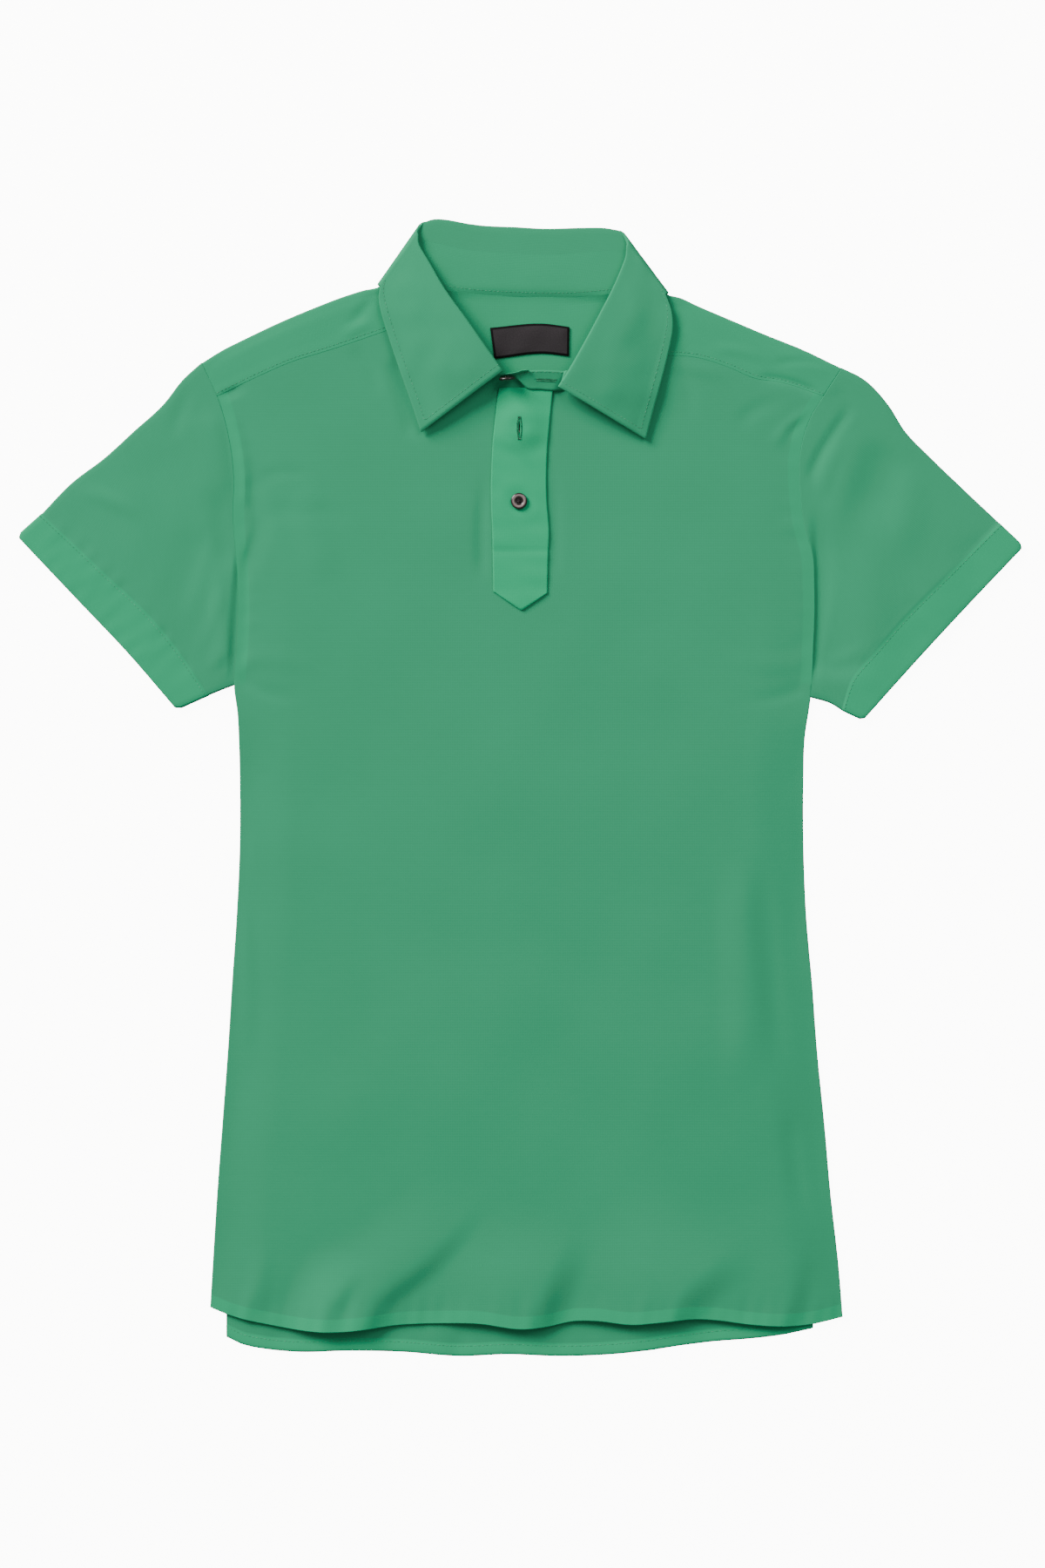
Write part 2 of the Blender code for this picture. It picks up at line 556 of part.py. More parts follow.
def build_sleeve(name, cut, finish):
    """A set-in sleeve: a flattened tube from the armhole to the turned cuff."""
    side = cut["side"]
    edge = left_edge if side < 0 else right_edge
    heights = [blend(cut["top_y"], cut["low_y"], v) for v in shares(20)]
    armhole = [(edge(y) + side * ARMHOLE_STEP, y) for y in heights]
    armhole[0] = cut["shoulder"][0]
    armhole[-1] = (cut["underarm"][0][0] + side * SEAM_STEP, cut["underarm"][0][1])
    lines = []
    for s in shares(9):
        lines.append((s, 0.0, lambda t, s=s: coons(armhole, cut["hem"], cut["shoulder"],
                                                   cut["underarm"], s, t)))
    for s in (STEP_WIDTH / CUFF_WIDTH, 0.5, 1.0):
        lines.append((1.0, HEM_RAISE,
                      lambda t, s=s: blend(along(cut["hem"], t), along(cut["cuff"], t), s)))
    rows, raised = [], []
    reach = FOLD_RADIUS + HALF
    for s, raise_by, plan in lines:
        long = np.linalg.norm(plan(1.0) - plan(0.0))
        trim = reach / long
        ring = []
        spots = [blend(trim, 1 - trim, t) for t in shares(SLEEVE_LINES)]
        top_out = (plan(0.0) - plan(0.02)) / np.linalg.norm(plan(0.0) - plan(0.02))
        low_out = (plan(1.0) - plan(0.98)) / np.linalg.norm(plan(1.0) - plan(0.98))
        for k, t in enumerate(spots):
            x, y = plan(t)
            crown = SLEEVE_CROWN * (CUFF_CROWN if raise_by else 1.0)
            swell = crown * math.sin(math.pi * k / SLEEVE_LINES) * smooth(s * 3)
            for fold_s, fold_t, width, height in SLEEVE_FOLDS:
                away = math.hypot(s - fold_s, t - fold_t) / width
                swell += height * math.exp(-away * away) * smooth(s * 3)
            seam_share = 1 - smooth(s * 4)
            body = upper_level(x - side * 3, y)
            joins = seam_share * (0 < k < SLEEVE_LINES)
            ring.append((x, y, blend(UPPER_LEVEL + swell, body, joins)))
        for degrees in (45, 90, 135):
            turn = math.radians(degrees)
            x, y = plan(spots[-1]) + low_out * FOLD_RADIUS * math.sin(turn)
            ring.append((x, y, FLOOR_LEVEL + FOLD_RADIUS * (1 + math.cos(turn))))
        for t in reversed(spots):
            x, y = plan(t)
            ring.append((x, y, FLOOR_LEVEL))
        for degrees in (135, 90, 45):
            turn = math.radians(degrees)
            x, y = plan(spots[0]) + top_out * FOLD_RADIUS * math.sin(turn)
            ring.append((x, y, FLOOR_LEVEL + FOLD_RADIUS * (1 + math.cos(turn))))
        rows.append(ring)
        flat = range(SLEEVE_LINES + 4, 2 * SLEEVE_LINES + 5)
        raised.append([0.0 if k in flat else raise_by for k in range(len(ring))])
    sheet = Sheet(name)
    sheet.grid(rows, raised, closed=True)
    return sheet.build(finish, up=5)


# ---- collar --------------------------------------------------------------------------------------
class Station:
    """One cross-section of the collar, from the stand's seam to the leaf's edge."""

    def __init__(self, roll, edge, fall, inner, outer, tip, bulge, slide=0.0, step=0.0):
        self.roll = np.array(roll, float)      # plan place of the fold's crest
        self.edge = np.array(edge, float)      # plan place of the leaf's edge
        self.fall = fall                       # plan length from the crest to the stand's top
        self.inner = inner                     # rule: height of the inner layer, and its offset
        self.outer = outer
        self.tip = tip
        self.bulge = bulge
        self.slide = slide                     # how far the stand's top lies further up the shirt
        self.step = step                       # how far the leaf's seam lies above the stand's

    def way(self):
        """Plan direction from the leaf's edge to the crest."""
        ahead = self.roll - self.edge
        return ahead / np.linalg.norm(ahead)

    def base(self):
        """Plan place where the fold's arc starts."""
        return self.roll - self.way() * self.bulge

    def stand_top(self):
        """The stand's upper edge."""
        plan = self.roll - self.way() * self.fall
        return np.append(plan, 0.0) + self.inner + np.array((0.0, self.slide, -self.step))

    def leaf_points(self):
        """Points of the leaf from the stand's top, round the roll, to the outer edge."""
        base = np.append(self.base(), 0.0)
        top = self.stand_top() + np.append(self.way() * LEAF_STEP, self.step + SEAM_RISE)
        start, end = base + self.inner, base + self.outer
        points = [top, blend(top, start, 0.5)]
        middle, half = (start + end) / 2, (end - start) / 2
        length = np.linalg.norm(half)
        for degrees in (-90, -45, 0, 45, 90):
            turn = math.radians(degrees)
            points.append(middle + half * math.sin(turn)
                          + np.append(self.way() * length * math.cos(turn), 0.0))
        for share in (0.3, 0.6, 0.85, 1.0):
            plan = blend(self.base(), self.edge, share)
            drop = share ** 1.5
            points.append(np.append(plan, 0.0) + blend(self.outer, self.tip, drop))
        return points


def upright(height):
    """An offset straight up."""
    return np.array((0.0, 0.0, height))


def front_stations(table, count, step):
    """Stations on the front, evenly placed from the front end to the side of the neck."""
    made = []
    keys = shares(len(table) - 1)
    for share in shares(count)[:-1]:
        roll_x, roll_y, edge_x, edge_y, fall, slide, level, tip = hermite(keys, table, share)
        bulge = blend(ROLL_RADIUS_FRONT, (LEAF_RING - STAND_RING) / 2, smooth(share * 1.2))
        made.append(Station((roll_x, roll_y), (edge_x, edge_y), fall, upright(level - 2 * bulge),
                            upright(level), upright(tip), bulge, slide,
                            step * (1 - smooth(share * 2.5))))
    return made


def side_stations(table, side):
    """Stations round the fold at the side of the neck, front to back."""
    roll, edge = np.array(table[-1][:2]), np.array(table[-1][2:4])
    ahead = (roll - edge) / np.linalg.norm(roll - edge)
    out = np.array((-ahead[1], ahead[0])) if side < 0 else np.array((ahead[1], -ahead[0]))
    made = []
    for degrees in RING_ANGLES:
        turn = math.radians(degrees)
        aside = np.append(out * math.sin(turn), math.cos(turn))
        inner = aside * STAND_RING + upright(RING_LEVEL)
        outer = aside * LEAF_RING + upright(RING_LEVEL)
        made.append(Station(roll, edge, table[-1][4], inner, outer, outer,
                            (LEAF_RING - STAND_RING) / 2))
    return made


def back_stations(count):
    """Stations behind the neck, left to right."""
    made = []
    left, right = LEAF_LEFT[-1], LEAF_RIGHT[-1]
    for share in shares(count)[1:-1]:
        roll = blend(np.array(left[:2]), np.array(right[:2]), share)
        roll[1] += column(COLLAR_TOP, share)
        edge = blend(np.array(left[2:4]), np.array(right[2:4]), share)
        fall = left[4] + STAND_TOP_SAG * math.sin(math.pi * share)
        inner = upright(RING_LEVEL - STAND_RING)
        outer = upright(RING_LEVEL - LEAF_RING)
        made.append(Station(roll, edge, fall, inner, outer, outer, (LEAF_RING - STAND_RING) / 2))
    return made


def build_leaf(stations, finish):
    """The collar leaf, one strip from front point to front point."""
    rows = [station.leaf_points() for station in stations]
    sheet = Sheet("collar_leaf")
    sheet.grid(rows)
    return sheet.build(finish, up=8)


def neck_points():
    """Seam points of the stand, matched to the collar's stations."""
    left_line = NECK_SIDE_LEFT[::-1] + NECK_LEFT[1:]
    right_line = NECK_SIDE_RIGHT[::-1] + NECK_RIGHT[::-1][1:]
    left = [along(left_line[::-1], share) for share in shares(COUNT_FRONT)[:-1]]
    right = [along(right_line[::-1], share) for share in shares(COUNT_FRONT)[:-1]]
    back = []
    for share in shares(COUNT_BACK)[1:-1]:
        x = blend(NECK_BACK[0][0], NECK_BACK[-1][0], share)
        back.append(np.array((x, column(NECK_BACK, x))))
    return left, right, back


def build_stand(stations, finish):
    """The collar stand, from the neck seam up to the leaf; its front ends cross."""
    left, right, back = neck_points()
    sides = len(RING_ANGLES)
    columns = []

    def strip(base, base_level, top, lift=0.0, bow=0.0, power=STAND_POWER):
        """One column of the stand."""
        line = []
        for share in shares(STAND_ROWS):
            point = blend(np.append(base, base_level), top, share)
            point[2] = blend(base_level, top[2], share ** power) + lift
            point[0] -= bow * math.sin(math.pi * share)
            line.append(tuple(point))
        return line

    def rise(point, top):
        """Seam point moved off the panels' edge, towards the stand's top."""
        ahead = np.array(top[:2]) - point
        return point + ahead / np.linalg.norm(ahead) * SEAM_STEP

    front_left = stations[:COUNT_FRONT]
    ring_left = stations[COUNT_FRONT:COUNT_FRONT + sides]
    middle = stations[COUNT_FRONT + sides:COUNT_FRONT + sides + COUNT_BACK - 1]
    ring_right = stations[COUNT_FRONT + sides + COUNT_BACK - 1:-COUNT_FRONT]
    front_right = stations[-COUNT_FRONT:]

    end_level = UPPER_LEVEL + CROWN
    top_level = front_left[0].stand_top()[2]
    for base_x, base_y, top_x, top_y in reversed(LEFT_END):
        columns.append(strip(np.array((base_x, base_y + LEFT_END_INSET)), end_level,
                             np.array((top_x, top_y, top_level + LEFT_END_RISE)), power=LEFT_END_POWER))
    for k, (seam, station) in enumerate(zip(left, front_left)):
        spot = rise(seam, station.stand_top())
        power = blend(LEFT_END_POWER, STAND_POWER, smooth(k / 4))
        columns.append(strip(spot, upper_level(*spot), station.stand_top(), power=power))
    for ring, seam in ((ring_left, NECK_BACK[0]), (ring_right, NECK_BACK[-1])):
        if ring is ring_right:
            for place, station in zip(back, middle):
                spot = place + np.array((0.0, SEAM_STEP * 0.8))
                line = [blend(spot, station.stand_top()[:2], share) for share in shares(STAND_ROWS)]
                columns.append([(x, y, FLOOR_LEVEL + neck_lift(x, y)) for x, y in line])
        for station in ring:
            top = station.stand_top()
            length = np.linalg.norm(np.array(seam) - (station.roll - station.way() * station.fall))
            foot = top - np.append(station.way() * (length - SEAM_STEP), 0.0)
            columns.append([tuple(blend(foot, top, share)) for share in shares(STAND_ROWS)])
    for k, (seam, station) in reversed(list(enumerate(zip(right, front_right[::-1])))):
        spot = rise(seam, station.stand_top())
        lift = PLACKET_LEVEL if k == 0 else 0.0
        columns.append(strip(spot, upper_level(*spot) + lift, station.stand_top()))
    right_top = front_right[-1].stand_top()[2]
    for k, (base_x, base_y, top_x, top_y) in enumerate(RIGHT_END):
        columns.append(strip(np.array((base_x, base_y)), end_level + PLACKET_LEVEL,
                             np.array((top_x, top_y, right_top - RIGHT_END_DROP)),
                             lift=RIGHT_END_LIFT * (k + 1),
                             bow=RIGHT_END_ROUND * k))
    sheet = Sheet("collar_stand")
    sheet.grid(columns)
    return sheet.build(finish, up=3)


# ---- placket -------------------------------------------------------------------------------------
def placket_level(x, y):
    """Height of the middle of the upper placket."""
    away = math.hypot(x - BUTTON_FIRST[0], y - BUTTON_FIRST[1])
    bump = BUMP_HEIGHT * (1 - smooth((away - BUMP_FLAT) / (BUMP_REACH - BUMP_FLAT)))
    return UPPER_LEVEL + CROWN + PLACKET_LEVEL + fold_height(x, y) + bump


def build_placket_upper(finish):
    """The upper strip: its pointed end below, a buttonhole cut through near the neck."""
    across = [0.0, 0.17, 0.33, None, None, 0.67, 0.83, 1.0]
    top = PLACKET_EDGES[-1][0]
    body = [150.0, 163.0, 176.0, 190.0, 204.0, 218.0, 231.0, 243.0, 252.0, SLIT_LOW]
    body += [blend(SLIT_LOW, SLIT_HIGH, v) for v in shares(4)[1:]]
    body += [284.0, 290.0, top]
    rows, raised = [], []
    for k, share in enumerate(across):
        line = []
        for y in [None] + body:
            left = column(PLACKET_EDGES, y or body[0])
            right = column(PLACKET_EDGES, y or body[0], 2)
            if share is None:
                inside = SLIT_LOW <= (y or 0) <= SLIT_HIGH
                wide = math.sin(math.pi * ((y or 0) - SLIT_LOW) / (SLIT_HIGH - SLIT_LOW)) if inside else 0
                half = SLIT_EDGE_HALF + (SLIT_HALF - SLIT_EDGE_HALF) * wide
                x = SLIT_X + (half if k == 4 else -half)
            else:
                x = blend(left, right, share)
            if y is None:
                slope = abs(x - PLACKET_TIP[0]) / 20.0
                y = blend(PLACKET_TIP[1], PLACKET_EDGES[0][0], slope)
            line.append((x, y, placket_level(x, y)))
        rows.append(line)
    first = 1 + body.index(SLIT_LOW)
    skip = {(3, j) for j in range(first, first + 4)}
    sheet = Sheet("placket_upper")
    sheet.grid(rows, None, skip)
    return sheet.build(finish, up=2)


def build_placket_under(finish):
    """The lower strip, in the front's cut-out, that carries the buttons."""
    left, right = NOTCH_LEFT + SEAM_STEP, NOTCH_RIGHT - SEAM_STEP
    bottom, top = NOTCH_BOTTOM + 2 * GAP, NECK_LEFT[-1][1] - SEAM_STEP
    level = UPPER_LEVEL + CROWN
    rows = [[(blend(left, right, u), blend(bottom, top, v), level) for v in shares(6)]
            for u in shares(2)]
    sheet = Sheet("placket_under")
    sheet.grid(rows)
    return sheet.build(finish, up=0)


# ---- label and buttons ---------------------------------------------------------------------------
def build_label(finish):
    """The neck label, a small oblong sewn inside the yoke."""
    rows = []
    for u in shares(6):
        low, high = along(LABEL_BOTTOM, u), along(LABEL_TOP, u)
        rows.append([(*blend(low, high, v), LABEL_LEVEL) for v in shares(2)])
    sheet = Sheet("label")
    sheet.grid(rows)
    return sheet.build(finish, up=0)


def button_mesh(name):
    """A four-hole button: a turned rim round a dished middle."""
    profile = ((0.0, 0.0), (0.72, 0.0), (1.0, 0.34), (1.0, 0.66), (0.86, 1.0), (0.68, 1.0),
               (0.56, 0.66), (0.0, 0.60))
    shape = bmesh.new()
    rings = []
    for out, height in profile:
        if out == 0.0:
            rings.append([shape.verts.new((0, 0, height * BUTTON_THICK * MM))])
            continue
        rings.append([])
        for k in range(BUTTON_SIDES):
            turn = 2 * math.pi * k / BUTTON_SIDES
            reach = out * BUTTON_RADIUS * MM
            rings[-1].append(shape.verts.new((reach * math.cos(turn), reach * math.sin(turn),
                                              height * BUTTON_THICK * MM)))
    for low, high in zip(rings, rings[1:]):
        for k in range(BUTTON_SIDES):
            after = (k + 1) % BUTTON_SIDES
            if len(low) == 1:
                shape.faces.new((low[0], high[after], high[k]))
            elif len(high) == 1:
                shape.faces.new((low[k], low[after], high[0]))
            else:
                shape.faces.new((low[k], low[after], high[after], high[k]))
    mesh = bpy.data.meshes.new(name)
    shape.to_mesh(mesh)
    shape.free()
    return mesh


def build_button(name, place, tilt, finish):
    """A button with its four holes cut through, at its place."""
    mesh = button_mesh(name)
    mesh.materials.append(finish)
    made = bpy.data.objects.new(name, mesh)
    bpy.context.collection.objects.link(made)
    for k in range(4):
        turn = math.pi / 4 + k * math.pi / 2
        drill = bmesh.new()
        bmesh.ops.create_cone(drill, cap_ends=True, segments=8, radius1=HOLE_RADIUS * MM,
                              radius2=HOLE_RADIUS * MM, depth=4 * BUTTON_THICK * MM)
        drill_mesh = bpy.data.meshes.new(f"{name}_drill_{k}")
        drill.to_mesh(drill_mesh)
        drill.free()
        cutter = bpy.data.objects.new(f"{name}_drill_{k}", drill_mesh)
        bpy.context.collection.objects.link(cutter)
        cutter.parent = made
        cutter.location = (HOLE_OFFSET * math.cos(turn) * MM, HOLE_OFFSET * math.sin(turn) * MM, 0)
        cutter.hide_render = True
        cutter.display_type = "WIRE"
        cut = made.modifiers.new(f"hole_{k}", "BOOLEAN")
        cut.operation = "DIFFERENCE"
        cut.solver = "EXACT"
        cut.object = cutter
    made.matrix_world = (Matrix.Translation(Vector(place) * MM)
                         @ Matrix.Rotation(math.radians(tilt[0]), 4, "X")
                         @ Matrix.Rotation(math.radians(tilt[1]), 4, "Y"))
    return made


def main():
    """Build every piece."""
    for old in list(bpy.data.objects):
        bpy.data.objects.remove(old)
    cloth = material("jersey_green", COLOURS["cloth"], 0.85)
    woven = material("label_black", COLOURS["label"], 0.7)
    horn = material("button_brown", COLOURS["button"], 0.35)

    build_back(cloth)
    build_front(cloth)
    build_yoke(cloth)
    for name, cut in SLEEVES.items():
        build_sleeve(name, cut, cloth)

    stations = front_stations(LEAF_LEFT, COUNT_FRONT, 0.0)
    stations += side_stations(LEAF_LEFT, -1)
    stations += back_stations(COUNT_BACK)
    stations += side_stations(LEAF_RIGHT, 1)[::-1]
    stations += front_stations(LEAF_RIGHT, COUNT_FRONT, RIGHT_LEAF_STEP)[::-1]
    build_leaf(stations, cloth)
    build_stand(stations, cloth)

    build_placket_upper(cloth)
    build_placket_under(cloth)
    build_label(woven)

    level = placket_level(*BUTTON_SECOND) + HALF + GAP
    build_button("button_second", (*BUTTON_SECOND, level), (0, 0), horn)
    level = UPPER_LEVEL + CROWN + HALF + GAP
    build_button("button_first", (*BUTTON_FIRST, level), (0, 0), horn)
    build_button("button_collar", BUTTON_COLLAR, BUTTON_COLLAR_TILT, horn)


main()
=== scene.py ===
"""Looks of a men's short-sleeved polo shirt with a shirt collar, laid flat on its back.

Tables are in millimetres in the shared frame: +X to the shirt's own left sleeve, +Y towards the
collar, +Z up, origin in the middle of the base.  Meshes are made in metres.  Every cloth piece is
a sheet of points in the middle of its wall, with the place that each point has in the cut cloth.
"""
import logging
import math
from collections.abc import Callable, Sequence
from dataclasses import dataclass, field
from enum import Enum

import bpy
import numpy as np
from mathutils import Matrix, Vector


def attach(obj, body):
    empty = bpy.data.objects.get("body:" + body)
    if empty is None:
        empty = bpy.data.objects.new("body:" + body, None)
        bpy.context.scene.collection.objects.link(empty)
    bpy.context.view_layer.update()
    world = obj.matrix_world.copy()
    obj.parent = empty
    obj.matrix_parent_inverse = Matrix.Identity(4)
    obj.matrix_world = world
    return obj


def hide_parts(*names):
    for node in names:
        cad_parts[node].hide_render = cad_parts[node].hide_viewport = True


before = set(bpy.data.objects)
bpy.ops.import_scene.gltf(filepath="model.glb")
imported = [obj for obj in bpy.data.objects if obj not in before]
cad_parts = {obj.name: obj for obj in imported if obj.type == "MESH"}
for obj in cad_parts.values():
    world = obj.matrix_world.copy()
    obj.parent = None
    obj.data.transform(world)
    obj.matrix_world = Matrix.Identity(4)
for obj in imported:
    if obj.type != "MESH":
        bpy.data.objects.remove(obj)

Array = np.ndarray
Points = Sequence[Sequence[float]]
Material, Object, Mesh = bpy.types.Material, bpy.types.Object, bpy.types.Mesh
Tree, Node, Socket = bpy.types.NodeTree, bpy.types.Node, bpy.types.NodeSocket
norm = np.linalg.norm

# node types that come up often
MATH, MIX, RANGE = "ShaderNodeMath", "ShaderNodeMix", "ShaderNodeMapRange"
NOISE, BUMP, ATTRIBUTE = "ShaderNodeTexNoise", "ShaderNodeBump", "ShaderNodeAttribute"
UV_MAP, COORDINATES = "ShaderNodeUVMap", "ShaderNodeTexCoord"

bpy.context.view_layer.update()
MM = 0.001
LOG = logging.getLogger("polo_shirt")

# ---- cloth ----
CLOTH = 0.8                   # thickness of one layer of the jersey
FOLD_RADIUS = 1.2             # middle of the wall where a layer turns back over itself
FLOOR_LEVEL = 0.5             # middle of a wall that lies on the surface
UPPER_LEVEL = FLOOR_LEVEL + 2 * FOLD_RADIUS
SIDE_SEAM_LEVEL = 1.8         # the front's sides lie on the back's
CROWN = 0.6                   # how far the front stands higher inside its edges
CROWN_RUN = 40.0
HEM_LIFT = 0.5                # how far the front hem curls up off the back, near the side seams
HEM_DROOP = -0.6              # and how far it sinks between them
HEM_LIFT_RUN = 36.0
SEAM_STEP = 0.6               # space between the middles of two edges that are sewn together
ARMHOLE_STEP = 0.35
HEM_RAISE = 0.5               # extra thickness of a turned cuff
BAND_RAISE = 0.35             # extra thickness of a topstitched seam allowance
HEM_WIDTH = 9.0
# across a turned hem, from the fold up: distance from the fold, and extra thickness
HEM_ROWS = ((0.0, 0.3), (0.3, 0.75), (1.0, 1.0), (2.2, 0.97), (3.8, 0.8), (5.4, 0.58), (7.0, 0.33),
            (8.2, 0.1), (9.0, 0.0))
HEM_PAINTED_LIGHT = 0.5             # painted light: how much lighter a turned hem is painted, out of 1
CUFF_WIDTH = 25.0
BAND_WIDTH = 8.0
STEP_WIDTH = 0.8              # run of the step at the edge of a raised band
REACH = FOLD_RADIUS + FLOOR_LEVEL
RIM = 0.42                    # how far a free edge swells out, as a share of the thickness
SEWN_RIM = 0.12               # and an edge that is sewn to the next piece

# ---- body outline: (y, x) along each side, hem to shoulder ----
LEFT_EDGE = (
    (-388, -231.1), (-355, -229.1), (-303, -225.9), (-251, -222.0), (-199, -218.1), (-147, -214.8),
    (-95, -211.3), (-43, -209.0), (9, -209.0), (35, -209.6), (55, -210.6), (76, -213.2),
    (103, -211.3), (131, -210.3), (159, -211.0), (204, -214.2), (231, -213.5), (259, -216.8),
    (292, -225.9), (317, -237.6),
)
RIGHT_EDGE = (
    (-395, 240.2), (-355, 236.9), (-303, 231.1), (-251, 226.5), (-199, 221.3), (-147, 217.4),
    (-95, 212.9), (-43, 210.9), (9, 210.9), (35, 211.6), (67, 216.1), (103, 218.1), (150, 218.7),
    (175, 217.1), (192, 212.2), (220, 208.5), (256, 209.6), (276, 216.1), (292, 225.9), (313, 239.5),
)
UNDERARM_LEFT = 76.0
UNDERARM_RIGHT = 67.0

# ---- hems: (x, y) of the lower edge ----
FRONT_HEM = (
    (-231, -387.4), (-218, -392.6), (-189, -399.8), (-161, -404.3), (-136, -405.0), (-114, -403.0),
    (-91, -400.4), (-60, -399.1), (-32, -399.1), (2, -403.0), (18, -401.7), (43, -397.2),
    (56, -397.2), (84, -399.8), (104, -398.1), (128, -395.9), (151, -397.2), (167, -399.4),
    (217, -399.8), (240, -394.6),
)
BACK_HEM = (
    (-219, -409.5), (-206, -415.4), (-193, -418.0), (-167, -420.6), (-128, -419.9), (-89, -420.6),
    (-44, -423.8), (-11, -422.5), (28, -423.8), (67, -422.5), (93, -419.9), (119, -416.0),
    (145, -412.8), (171, -410.8), (197, -407.6), (218, -403.0),
)
BACK_INSET = (12.0, 22.0)     # left and right: how far the back's corners sit inside the front's
BACK_INSET_RUN = (60.0, -380.0)
BACK_YOKE_SEAM = 271.7
YOKE_MIDDLE = 70.0            # half the width between the yoke's wings, at the back seam
SEAM_CORNER = 291.9           # where the front yoke seams meet the armholes
FRONT_BASE = -391.0           # upper edge of the front hem at the middle

# ---- neck and front yoke seams: (x, y), left to right ----
YOKE_SEAM_LEFT = ((-225.9, 291.9), (-201.8, 303.5), (-170.6, 317.2), (-141.4, 326.3),
                  (-105.0, 338.7), (-82.5, 346.5))
NECK_LEFT = ((-82.5, 346.5), (-79.6, 342.4), (-65.8, 322.2), (-49.4, 308.6), (-34.0, 300.5),
             (-16.6, 296.3))
NECK_RIGHT = ((24.4, 295.8), (43.0, 296.5), (61.0, 301.5), (77.0, 313.0), (83.0, 321.0))
YOKE_SEAM_RIGHT = ((83.0, 321.0), (110.8, 321.8), (131.0, 320.5), (155.7, 313.0), (174.5, 305.0),
                   (194.0, 302.0), (225.9, 291.9))
NECK_SIDE_LEFT = ((-82.5, 346.5), (-91.4, 361.0), (-96.5, 370.5), (-97.8, 379.8))
NECK_SIDE_RIGHT = ((83.0, 321.0), (89.0, 332.0), (98.5, 351.0), (103.5, 364.0), (102.2, 373.0))
NECK_BACK = ((-97.8, 379.8), (-72.0, 374.0), (-45.0, 369.3), (0.0, 366.2), (45.0, 366.2),
             (75.0, 369.0), (102.2, 373.0))
SHOULDER_LINE_LEFT = ((-237.6, 316.6), (-222.6, 326.0), (-206.4, 334.1), (-180.4, 346.5),
                      (-154.4, 357.5), (-128.4, 367.3), (-115.4, 371.2), (-106.3, 372.9),
                      (-99.2, 379.0))
SHOULDER_LINE_RIGHT = ((239.5, 312.7), (209.6, 327.0), (183.6, 337.4), (157.6, 348.4),
                       (131.6, 359.5), (118.6, 365.4), (109.5, 367.6), (104.1, 373.1))

# ---- placket ----
NOTCH_LEFT, NOTCH_RIGHT, NOTCH_BOTTOM = -16.6, 17.9, 176.2
PLACKET_LEVEL = 1.3           # above the front's own level
BUTTON_SECOND = (-1.0, 213.2)
BUTTON_FIRST = (-0.6, 269.3)
BUTTON_COLLAR = (-10.0, 305.0, 10.7)

# ---- collar's folds ----
LEAF_RING = 2.8               # fold radius of the leaf at the sides of the neck
STAND_RING = 1.2              # fold radius of the stand inside it
RING_LEVEL = FLOOR_LEVEL + LEAF_RING
NECK_LIFT = RING_LEVEL - FOLD_RADIUS - FLOOR_LEVEL
NECK_LIFT_RUN = 7.0
LEAD = (0.0, 0.25, 0.5, 0.75)  # the leaf's places from the stand's top to the roll
ROLL_POINTS = 11              # and its points round the roll
EDGE_LINE = (372.3, -0.032)   # outer edge of the leaf behind the neck: y = first + second * x


# ---- curves ----
def smooth(value: float | Array) -> Array:
    """Ease from 0 to 1 as value goes from 0 to 1."""
    value = np.clip(value, 0.0, 1.0)
    return value * value * (3 - 2 * value)


def blend(start: Array | float, end: Array | float, share: Array | float) -> Array:
    """The value, or the point, that lies share of the way from start to end."""
    return start + (end - start) * share


def hermite(keys: Sequence[float], values: Points | Sequence[float], at: Array | float) -> Array:
    """Smooth curve through values at rising keys.

    Args:
        keys: where each value stands.
        values: numbers or points, one for each key.
        at: places to read, held inside the keys.

    Returns:
        The curve at each place.
    """
    keys = np.asarray(keys, float)
    values = np.asarray(values, float)
    at = np.clip(np.asarray(at, float), keys[0], keys[-1])
    slopes = np.gradient(values, keys, axis=0)
    row = np.clip(np.searchsorted(keys, at) - 1, 0, len(keys) - 2)
    run = keys[row + 1] - keys[row]
    t = (at - keys[row]) / run
    if values.ndim == 2:
        t, run = t[..., None], np.asarray(run)[..., None]
    held = (1 + 2 * t) * (1 - t) ** 2 * values[row] + t * t * (3 - 2 * t) * values[row + 1]
    return held + run * (t * (1 - t) ** 2 * slopes[row] - t * t * (1 - t) * slopes[row + 1])


def runs(points: Array, axis: int) -> Array:
    """Distance along each line of a grid, or along one line, from its first point."""
    return np.insert(np.cumsum(norm(np.diff(points, axis=axis), axis=-1), axis=axis), 0, 0.0, axis=axis)


def along(points: Points | Array, share: Array | float) -> Array:
    """Points at shares of the length of a smooth curve through points."""
    points = np.asarray(points, float)
    lengths = runs(points, 0)
    return hermite(lengths / lengths[-1], points, share)


def column(table: Points, key: Array | float, index: int = 1) -> Array:
    """Values of one column of a table whose first column rises."""
    return hermite([row[0] for row in table], [row[index] for row in table], key)


def shares(count: int) -> Array:
    """Even shares from 0 to 1."""
    return np.linspace(0.0, 1.0, count + 1)


def lipped(count: int, lip: float, start: bool = True, end: bool = True) -> Array:
    """Even shares from 0 to 1 with a narrow one at the start, the end or both.

    Args:
        count: how many shares there are, without the narrow ones.
        lip: width of the narrow one.
        start: whether there is one at 0.
        end: whether there is one at 1.

    Returns:
        The shares.
    """
    inner = shares(count)
    first = [0.0, lip] if start else [0.0]
    last = [1 - lip, 1.0] if end else [1.0]
    return np.concatenate([first, inner[1:-1], last])


def left_edge(y: Array | float) -> Array:
    """The body's left side and armhole."""
    return column(LEFT_EDGE, y)


def right_edge(y: Array | float) -> Array:
    """The body's right side and armhole."""
    return column(RIGHT_EDGE, y)


